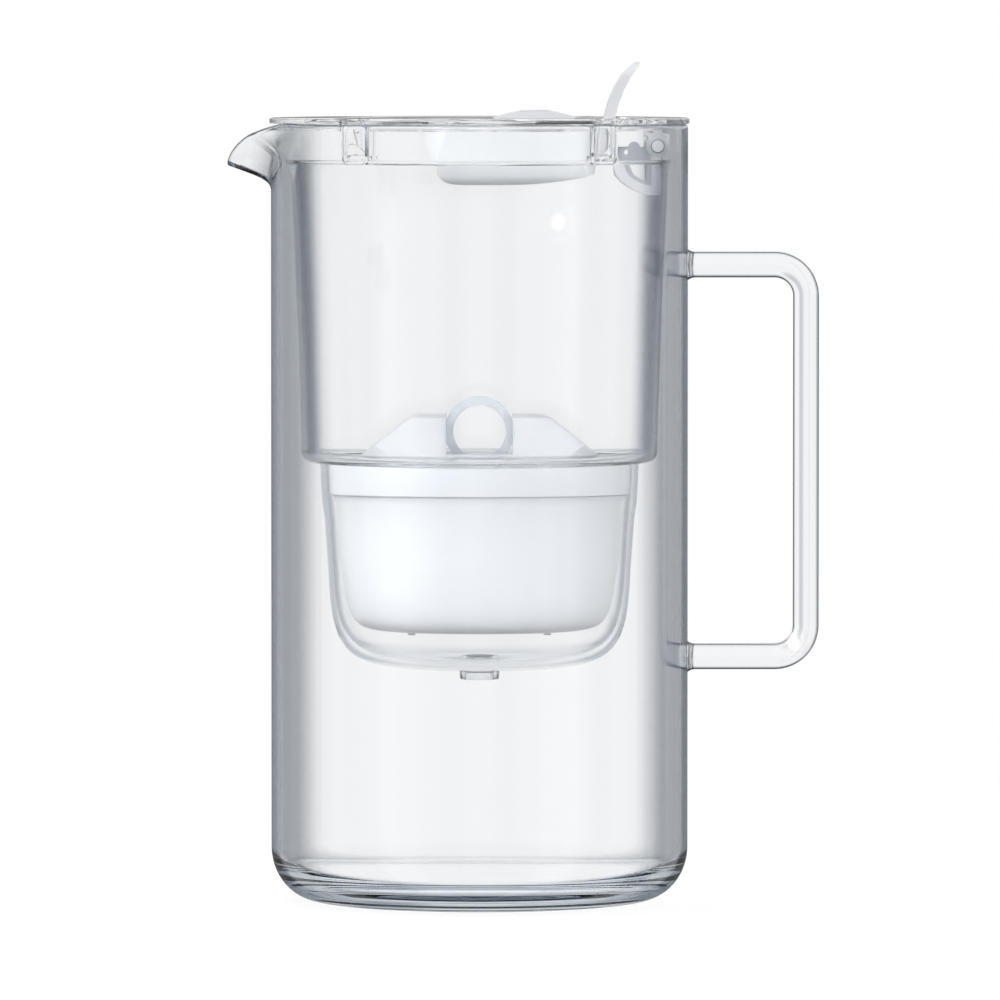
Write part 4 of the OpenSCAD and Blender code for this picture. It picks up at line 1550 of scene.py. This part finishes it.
    def block(self, name: str, reach: Point2, width: float, low: float, high: float) -> bpy.types.Object:
        """Block between two distances from the axis.

        Args:
            name: Name of the block.
            reach: Distances of its inner and outer faces.
            width: Its width across.
            low: Height of its underside.
            high: Height of its top.

        Returns:
            The new object.
        """
        near, far = reach
        half = width / 2
        return plate(name, [(near, -half), (far, -half), (far, half), (near, half)], low, high)

    def upright(self, name: str, reach: Point2, z: float, outline: Sequence[Point2]) -> bpy.types.Object:
        """Plate that faces outwards between two distances from the axis.

        Args:
            name: Name of the plate.
            reach: Distances of its inner and outer faces.
            z: Height of its middle.
            outline: Outline, across and up.

        Returns:
            The new object.
        """
        piece = plate(name, outline, *reach)
        for vertex in piece.data.vertices:
            x, y, depth = vertex.co
            vertex.co = (depth, x, y + z * MM)
        return piece

    def hanger_tree(self) -> bpy.types.NodeTree:
        """Makes the tree of the four hangers, two near the front and two near the back.

        Returns:
            The tree.
        """
        lay, source = geometry_tree("rim_hangers", {
            "Count": ("NodeSocketInt", 4),
            "Angle": ("NodeSocketFloat", math.radians(self.hook_angle)),
            "Material": ("NodeSocketMaterial", None),
        })
        points = lay.add("GeometryNodePoints", Count=source.outputs["Count"])
        index = lay.add("GeometryNodeInputIndex").outputs[0]
        half = lay.math("FLOOR", lay.math("DIVIDE", index, 2.0))
        odd = lay.math("MODULO", index, 2.0)
        side = lay.math("SUBTRACT", lay.math("MULTIPLY", odd, 2.0), 1.0)
        base = lay.math("ADD", lay.math("MULTIPLY", half, math.pi), math.pi / 2)
        turn = lay.math("ADD", base, lay.math("MULTIPLY", side, source.outputs["Angle"]))
        spin = lay.add("ShaderNodeCombineXYZ", Z=turn)
        copies = lay.add(
            "GeometryNodeInstanceOnPoints", Points=points.outputs[0],
            Instance=source.outputs["Geometry"], Rotation=spin.outputs[0],
        )
        close_tree(lay, copies.outputs[0], source.outputs["Material"])
        return lay.tree

    def build(self, finishes: Finishes) -> None:
        """Builds and dresses the funnel.

        Args:
            finishes: The materials.
        """
        funnel = skin("funnel_tank", self.rings(), loop=True)
        round_edges(funnel, 0.3, 50.0)
        hangers = self.hanger()
        grow(hangers, self.hanger_tree(), {"Material": finishes.funnel_clear})
        combine(funnel, hangers, Join.ADD)
        smooth(funnel)
        settle(funnel, Body.FUNNEL, finishes.funnel_clear, ["funnel"])


# ------------------------------------------------------------------------------ the cartridge


@dataclass
class Cartridge:
    """Oval filter cartridge with a flanged cap, two wings and a finger ring.

    Attributes:
        collar_a: Half width of the collar.
        body_a: Half width of the body below it.
        ratio: Depth of the oval over its width.
        top_z: Height of the open top.
        seat_z: Height at which the collar begins.
        bottom_z: Height of the underside.
        wall: Thickness of the wall.
        floor_t: Thickness of the floor.
        foot_x: Distance of each foot from the middle.
        slot_size: Width and length of an outlet slot.
        foot_size: Width and length of a foot.
        end_round: Radius of the corners of both.
        slot_count: Number of slots.
        slot_step: Distance from one slot to the next.
        turn_steps: Steps of the turn from the floor into the wall.
        columns: Points of each ring.
    """

    collar_a: float = 51.4
    body_a: float = 48.6
    ratio: float = 0.605
    top_z: float = 149.0
    seat_z: float = 138.6
    bottom_z: float = 91.3
    wall: float = 1.6
    floor_t: float = 1.8
    foot_x: float = 23.0
    slot_size: Point2 = (1.6, 16.0)
    foot_size: Point2 = (2.6, 16.0)
    end_round: float = 0.8
    slot_count: int = 5
    slot_step: float = 6.0
    turn_steps: int = 12
    columns: int = 144

    def shell(self) -> bpy.types.Object:
        """Makes the open oval body with its collar, two feet and outlet slots.

        Returns:
            The new object.
        """
        a = self.body_a
        inner = a - self.wall
        inner_ratio = (a * self.ratio - self.wall) / inner
        floor = self.bottom_z + self.floor_t
        outside = [(0.0, self.bottom_z)]
        turn = [(30.0, self.bottom_z + 0.2), (a - 6.6, 91.6), (a - 4.6, 94.5), (a - 2.8, 106.0)]
        outside += curved(turn, self.turn_steps)
        outside += [
            (a - 1.0, 117.8), (a, self.seat_z - 3.4), (self.collar_a - 1.4, self.seat_z - 0.05),
            (self.collar_a - 0.3, self.seat_z), (self.collar_a, self.top_z),
        ]
        hollow = [(inner, self.top_z), (inner - 0.2, self.seat_z), (inner - 1.2, 117.8)]
        turn = [(inner - 3.3, 107.0), (inner - 5.6, 97.0), (inner - 8.0, 94.2), (27.0, floor)]
        hollow += curved(turn, self.turn_steps)
        hollow += [(0.0, floor)]
        rings = turned(outside, self.columns, self.ratio) + turned(hollow, self.columns, inner_ratio)
        shell = skin("cartridge_shell", rings)
        round_edges(shell, 0.35, 40.0, 3)
        below = self.bottom_z - 1.0
        outline = rounded_outline(*self.slot_size, self.end_round)
        slots = plate("outlet_slots", outline, below, floor + 1.0)
        row = {"Count": self.slot_count, "Step": self.slot_step * MM, "Material": None}
        grow(slots, row_tree("outlet_slot_row"), row)
        combine(shell, slots, Join.CUT)
        outline = rounded_outline(*self.foot_size, self.end_round)
        for side in (-1, 1):
            foot = plate("foot", outline, below, self.bottom_z + 0.6)
            for vertex in foot.data.vertices:
                vertex.co.x += side * self.foot_x * MM
            combine(shell, foot, Join.ADD)
        smooth(shell)
        return shell

    def build(self, finishes: Finishes) -> None:
        """Builds and dresses the cartridge and the parts inside it.

        Args:
            finishes: The materials.
        """
        shell = self.shell()
        settle(shell, Body.CARTRIDGE, finishes.cartridge_white, ["cartridge_body"])
        cap = moulded_copy("cartridge_cover", "cartridge_cap", 0.3)
        settle(cap, Body.CARTRIDGE, finishes.cap_frosted, ["cartridge_cap"])
        dress("inlet_screens", finishes.screen)
        dress("outlet_screen", finishes.screen)
        dress("filter_media", finishes.granules)


# ------------------------------------------------------------------------------ lid and flap


@dataclass
class Lid:
    """Flat clear lid with its plug ring, ledge, hinge lugs and pins.

    Attributes:
        edge: Width of its rounded edges.
    """

    edge: float = 0.25

    def build(self, finishes: Finishes) -> None:
        """Builds and dresses the lid.

        Args:
            finishes: The materials.
        """
        disc = moulded_copy("lid_plate", "lid_disc", self.edge)
        settle(disc, Body.LID, finishes.lid_clear, ["lid_disc"])
        dress("hinge_pins", finishes.pin_plastic)


@dataclass
class Flap:
    """Clear flap with the white thumb lever that turns it.

    Attributes:
        edge: Width of the rounded edges.
        tab_round: Rounding of the long edges of the lever's tab.
        tab_from_z: Height above which an edge may be one of these.
        tab_angle: Degrees by which it then has to turn.
    """

    edge: float = 0.3
    tab_round: float = 0.9
    tab_from_z: float = 266.8
    tab_angle: float = 50.0

    def lever(self) -> bpy.types.Object:
        """Makes the thumb lever, with well rounded long edges above the lid.

        Returns:
            The new object.
        """
        bm = merged_mesh("thumb_lever")
        long_edges = []
        for edge in bm.edges:
            high = all(v.co.z > self.tab_from_z * MM for v in edge.verts)
            if high and len(edge.link_faces) == 2 and edge.calc_face_angle() > math.radians(self.tab_angle):
                long_edges.append(edge)
        bmesh.ops.bevel(
            bm, geom=long_edges, offset=self.tab_round * MM, segments=4, profile=0.5,
            affect="EDGES", clamp_overlap=True,
        )
        lever = from_bmesh("thumb_tab", bm)
        round_edges(lever, self.edge, 40.0)
        smooth(lever)
        weighted = lever.modifiers.new("weighted", "WEIGHTED_NORMAL")
        weighted.keep_sharp = True
        apply_modifiers(lever)
        return lever

    def build(self, finishes: Finishes) -> None:
        """Builds and dresses the flap and its lever.

        Args:
            finishes: The materials.
        """
        panel = moulded_copy("flap_plate", "flap_panel", self.edge)
        settle(panel, Body.FLAP, finishes.lid_clear, ["flap_panel"])
        lever = self.lever()
        settle(lever, Body.FLAP, finishes.lever_white, ["thumb_lever"])


@dataclass
class Indicator:
    """Sealed change indicator under the flap: housing, dome, button and the parts inside.

    Attributes:
        edge: Width of the housing's rounded edges.
        underside: Controls of the underside's curve, along X and up.
        cut_steps: First and last step of that curve where the boss is cut off.
        cut_from_z: Height from which the cut is made, up to the curve.
        cut_half: Half width of the cut.
    """

    edge: float = 0.3
    underside: tuple[Point2, ...] = ((7.0, 244.2), (21.4, 244.2), (33.4, 246.2), (38.8, 248.2))
    cut_steps: tuple[int, int] = (3, 6)
    cut_from_z: float = 240.0
    cut_half: float = 3.2

    def case(self) -> bpy.types.Object:
        """Makes the housing, its underside cut flush below its rear boss.

        Returns:
            The new object.
        """
        case = from_bmesh("indicator_case", merged_mesh("indicator_housing"))
        first, last = self.cut_steps
        surface = curved(self.underside, last)[first:]
        ends = [(surface[0][0], self.cut_from_z), (surface[-1][0], self.cut_from_z)]
        cutter = plate("underside_cut", [ends[0], *surface, ends[1]], -self.cut_half, self.cut_half)
        for vertex in cutter.data.vertices:
            x, z, depth = vertex.co
            vertex.co = (x, -depth, z)
        combine(case, cutter, Join.CUT)
        round_edges(case, self.edge, SOFT_EDGE_ANGLE)
        smooth(case)
        return case

    def build(self, finishes: Finishes) -> None:
        """Builds and dresses the indicator.

        Args:
            finishes: The materials.
        """
        housing = self.case()
        settle(housing, Body.FLAP, finishes.housing_white, ["indicator_housing"])
        dome = moulded_copy("indicator_window", "indicator_dome", 0.0)
        settle(dome, Body.FLAP, finishes.dome_pale, ["indicator_dome"])
        button = moulded_copy("indicator_key", "indicator_button", 0.0)
        settle(button, Body.BUTTON, finishes.button_satin, ["indicator_button"])
        dress("housing_seal", finishes.silicone)
        dress("button_boot", finishes.silicone)
        dress("circuit_board", finishes.board_green)
        dress("board_screws", finishes.steel)
        dress("push_switch", finishes.switch_black)
        dress("status_lights", finishes.light_window)
        dress("coin_cell", finishes.cell_steel)
        dress("cell_contacts", finishes.brass)


# ---------------------------------------------------------------------------------- the studio


@dataclass
class Softbox:
    """One soft lamp, placed by its direction from the pitcher.

    Attributes:
        name: Name of the lamp.
        azimuth: Degrees from the front towards the handle.
        elevation: Degrees above the horizon.
        distance: Distance from the point that it lights, in metres.
        width: Its width in metres.
        height: Its height in metres.
        power: Its power in watts.
        aim_z: Height of the point that it lights, in metres.
    """

    name: str
    azimuth: float
    elevation: float
    distance: float
    width: float
    height: float
    power: float
    aim_z: float = 0.14

    def build(self) -> None:
        """Makes the lamp."""
        data = bpy.data.lights.new(self.name, "AREA")
        data.shape = "RECTANGLE"
        data.size = self.width
        data.size_y = self.height
        data.energy = self.power
        data.cycles.use_multiple_importance_sampling = False
        lamp = bpy.data.objects.new(self.name, data)
        lamp.visible_glossy = False
        a, e = math.radians(self.azimuth), math.radians(self.elevation)
        back = Vector((math.sin(a) * math.cos(e), -math.cos(a) * math.cos(e), math.sin(e)))
        lamp.location = Vector((0.0, 0.0, self.aim_z)) + back * self.distance
        lamp.rotation_euler = back.to_track_quat("Z", "Y").to_euler()
        bpy.context.scene.collection.objects.link(lamp)


@dataclass
class Studio:
    """Camera, pale floor, soft lamps and the white surroundings.

    Lengths are in metres here, and angles in degrees. A zone holds the upright part of a direction
    at which a level begins to change, and the one at which it has changed.

    Attributes:
        camera_at: Place of the camera.
        camera_aim: Point that it looks at.
        lens: Its focal length in millimetres.
        ambient: Light that diffuse rays see.
        ambient_share: Scale that keeps that light's blend from being clipped.
        ambient_tilt: Direction and strength of its slope.
        dim: Colour of the dim places that rays through glass see.
        overhead: How dim they are above the object.
        overhead_zone: Where that begins and ends.
        underfoot: How dim they are below it.
        underfoot_zone: Where that begins and ends.
        mirror_level: Level between the bright panels that mirrored rays see.
        mirror_sky: Level of the sky that they see.
        mirror_sky_zone: Where it begins and ends.
        floor_r: Radius of the floor.
        floor_drop: How far it lies below the object.
        paper: Its level where light falls on it.
        paper_seen: Its level where it is seen.
        paper_glow: Light that it gives there, so that it shows white with a faint shadow.
        card_spacing: Degrees from one set of cards to the next.
        cards: Degrees from the middle of a set, and how dim it is there.
        card_zone: Where the cards fade towards the zenith and the nadir.
        panel_spacing: Degrees from one set of panels to the next.
        mirror_panels: Degrees from the middle of a set, and how bright it is there.
    """

    camera_at: tuple[float, float, float] = (0.0, -3.6, 0.2995)
    camera_aim: tuple[float, float, float] = (0.0070, 0.0, 0.1363)
    lens: float = 380.4
    ambient: Colour = (0.71, 0.715, 0.722)
    ambient_share: float = 0.6
    ambient_tilt: tuple[float, float, float] = (-0.32, -0.36, 0.2)
    dim: Colour = (0.28, 0.32, 0.37)
    overhead: float = 0.8
    overhead_zone: Stop = (0.5, 0.8)
    underfoot: float = 0.2
    underfoot_zone: Stop = (-0.5, -0.8)
    mirror_level: float = 0.15
    mirror_sky: float = 0.85
    mirror_sky_zone: Stop = (0.0, 0.04)
    floor_r: float = 0.55
    floor_drop: float = 0.0002
    paper: float = 0.8
    paper_seen: float = 0.24
    paper_glow: float = 0.79
    card_spacing: float = 60.0
    cards: tuple[Stop, ...] = (
        (-30.0, 0.0), (-12.0, 0.0), (-8.0, 0.12), (-5.0, 0.0), (7.0, 0.0), (10.0, 0.25),
        (13.0, 0.5), (20.0, 0.5), (25.0, 0.05), (30.0, 0.0),
    )
    card_zone: Stop = (0.3, 0.5)
    panel_spacing: float = 90.0
    mirror_panels: tuple[Stop, ...] = (
        (-45.0, 1.0), (-38.0, 1.0), (-31.0, 0.0), (30.0, 0.0), (38.0, 1.0), (45.0, 1.0),
    )

    def camera(self) -> None:
        """Makes the camera."""
        data = bpy.data.cameras.new("camera")
        data.lens = self.lens
        data.sensor_width = 36.0
        data.clip_start = 0.1
        data.clip_end = 50.0
        camera = bpy.data.objects.new("camera", data)
        camera.location = self.camera_at
        aim = Vector(self.camera_aim) - Vector(self.camera_at)
        camera.rotation_euler = aim.to_track_quat("-Z", "Y").to_euler()
        bpy.context.scene.collection.objects.link(camera)
        bpy.context.scene.camera = camera

    def round_ramp(
        self, lay: Layout, azimuth: bpy.types.NodeSocket, spacing: float, stops: Sequence[Stop]
    ) -> bpy.types.NodeSocket:
        """Repeats a row of levels round the horizon.

        Args:
            lay: The world's layout.
            azimuth: Socket of the direction's azimuth in radians.
            spacing: Degrees from one repeat to the next.
            stops: Degrees from the middle of a repeat, and the level there.

        Returns:
            Socket of the level.
        """
        half = math.radians(spacing / 2)
        wrap = lay.add("ShaderNodeMath", {"operation": "WRAP"}, i0=azimuth, i1=half, i2=-half)
        spread = lay.math("DIVIDE", lay.math("ADD", wrap.outputs[0], half), 2 * half)
        return lay.ramp(spread, [(angle / spacing + 0.5, level) for angle, level in stops])

    def surroundings(self) -> None:
        """White world that gives each kind of ray its own surroundings.

        Mirrored rays see bright and dim panels. Rays through glass see white with a few dim cards.
        Diffuse rays see a soft light that is a little stronger from above, the left and the front.
        """
        world = bpy.data.worlds.new("studio")
        world.use_nodes = True
        world.cycles.sampling_method = "NONE"
        world.node_tree.nodes.clear()
        bpy.context.scene.world = world
        lay = Layout(world.node_tree)
        direction = lay.add("ShaderNodeTexCoord").outputs["Generated"]
        split = lay.add("ShaderNodeSeparateXYZ", Vector=direction)
        azimuth = lay.math("ARCTAN2", split.outputs[0], split.outputs[1])
        up = split.outputs[2]
        dark, bright = self.mirror_level, 1 - self.mirror_level
        panels = [(angle, dark + bright * level) for angle, level in self.mirror_panels]
        mirrored = self.round_ramp(lay, azimuth, self.panel_spacing, panels)
        sky = lay.rise(up, *self.mirror_sky_zone, 0.0, self.mirror_sky)
        mirrored = lay.math("MAXIMUM", mirrored, sky)
        card = self.round_ramp(lay, azimuth, self.card_spacing, self.cards)
        near_level = lay.rise(lay.math("ABSOLUTE", up), *self.card_zone, 1.0, 0.0)
        card = lay.math("MULTIPLY", card, near_level)
        overhead = lay.rise(up, *self.overhead_zone, 0.0, self.overhead)
        underfoot = lay.rise(up, *self.underfoot_zone, 0.0, self.underfoot)
        shade = lay.math("MAXIMUM", lay.math("MAXIMUM", overhead, underfoot), card)
        white = (1.0, 1.0, 1.0, 1.0)
        black = (0.0, 0.0, 0.0, 1.0)
        path = lay.add("ShaderNodeLightPath")
        through = lay.blend(shade, white, rgba(self.dim))
        bounced = lay.blend(path.outputs["Is Glossy Ray"], black, mirrored)
        seen = lay.blend(path.outputs["Is Transmission Ray"], bounced, through)
        lit = lay.math("GREATER_THAN", path.outputs["Diffuse Depth"], 0.5)
        tilt = lay.add(
            "ShaderNodeVectorMath", {"operation": "DOT_PRODUCT"}, i0=direction, i1=self.ambient_tilt
        )
        sloped = lay.math("ADD", tilt.outputs["Value"], 1.0)
        full = tuple(level / self.ambient_share for level in self.ambient)
        soft = lay.blend(lay.math("MULTIPLY", sloped, self.ambient_share), black, rgba(full))
        seen = lay.blend(lit, seen, soft)
        seen = lay.blend(path.outputs["Is Camera Ray"], seen, white)
        shine = lay.add("ShaderNodeBackground", Color=seen, Strength=1.0)
        lay.add("ShaderNodeOutputWorld", Surface=shine.outputs[0])

    def floor(self) -> None:
        """Pale round floor that keeps a faint shadow."""
        bm = bmesh.new()
        bmesh.ops.create_circle(bm, cap_ends=True, segments=96, radius=self.floor_r)
        mesh = bpy.data.meshes.new("floor")
        bm.to_mesh(mesh)
        bm.free()
        floor = bpy.data.objects.new("floor", mesh)
        floor.location.z = -self.floor_drop
        bpy.context.scene.collection.objects.link(floor)
        material, lay = start_material("floor_paper")
        path = lay.add("ShaderNodeLightPath")
        seen = lay.math("MAXIMUM", path.outputs["Is Camera Ray"], path.outputs["Is Glossy Ray"])
        seen = lay.math("MAXIMUM", seen, path.outputs["Is Transmission Ray"])
        lit, shown = rgba((self.paper,) * 3), rgba((self.paper_seen,) * 3)
        matt = lay.add("ShaderNodeBsdfDiffuse", Color=lay.blend(seen, lit, shown))
        strength = lay.math("MULTIPLY", seen, self.paper_glow)
        glow = lay.add("ShaderNodeEmission", Color=(1.0, 1.0, 1.0, 1.0), Strength=strength)
        both = lay.add("ShaderNodeAddShader", i0=matt.outputs[0], i1=glow.outputs[0])
        clear = lay.add("ShaderNodeBsdfTransparent")
        bent = lay.math("MAXIMUM", path.outputs["Is Transmission Ray"], path.outputs["Is Glossy Ray"])
        mixed = lay.add("ShaderNodeMixShader", i0=bent, i1=both.outputs[0], i2=clear.outputs[0])
        lay.add("ShaderNodeOutputMaterial", Surface=mixed.outputs[0])
        mesh.materials.append(material)

    def build(self) -> None:
        """Makes the whole studio."""
        self.camera()
        self.surroundings()
        self.floor()
        Softbox(
            "key_lamp", azimuth=-42.0, elevation=32.0, distance=1.9, width=0.9, height=1.3, power=12.0
        ).build()
        Softbox(
            "fill_lamp", azimuth=48.0, elevation=18.0, distance=2.1, width=0.7, height=1.3, power=7.0
        ).build()
        scene = bpy.context.scene
        scene.view_settings.view_transform = "Standard"
        scene.cycles.max_bounces = 28
        scene.cycles.transmission_bounces = 28
        scene.cycles.glossy_bounces = 28
        scene.cycles.transparent_max_bounces = 32
        scene.cycles.caustics_refractive = True
        scene.cycles.caustics_reflective = True


def main() -> None:
    """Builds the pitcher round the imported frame."""
    logging.basicConfig(level=logging.INFO, format="%(name)s: %(message)s")
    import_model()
    Studio().build()
    effects = SurfaceEffects()
    finishes = Finishes(effects)
    for part in (Jug(), Handle(), Funnel(), Cartridge(), Lid(), Flap(), Indicator()):
        LOG.info("building %s", type(part).__name__)
        part.build(finishes)


if __name__ == "__main__":
    main()
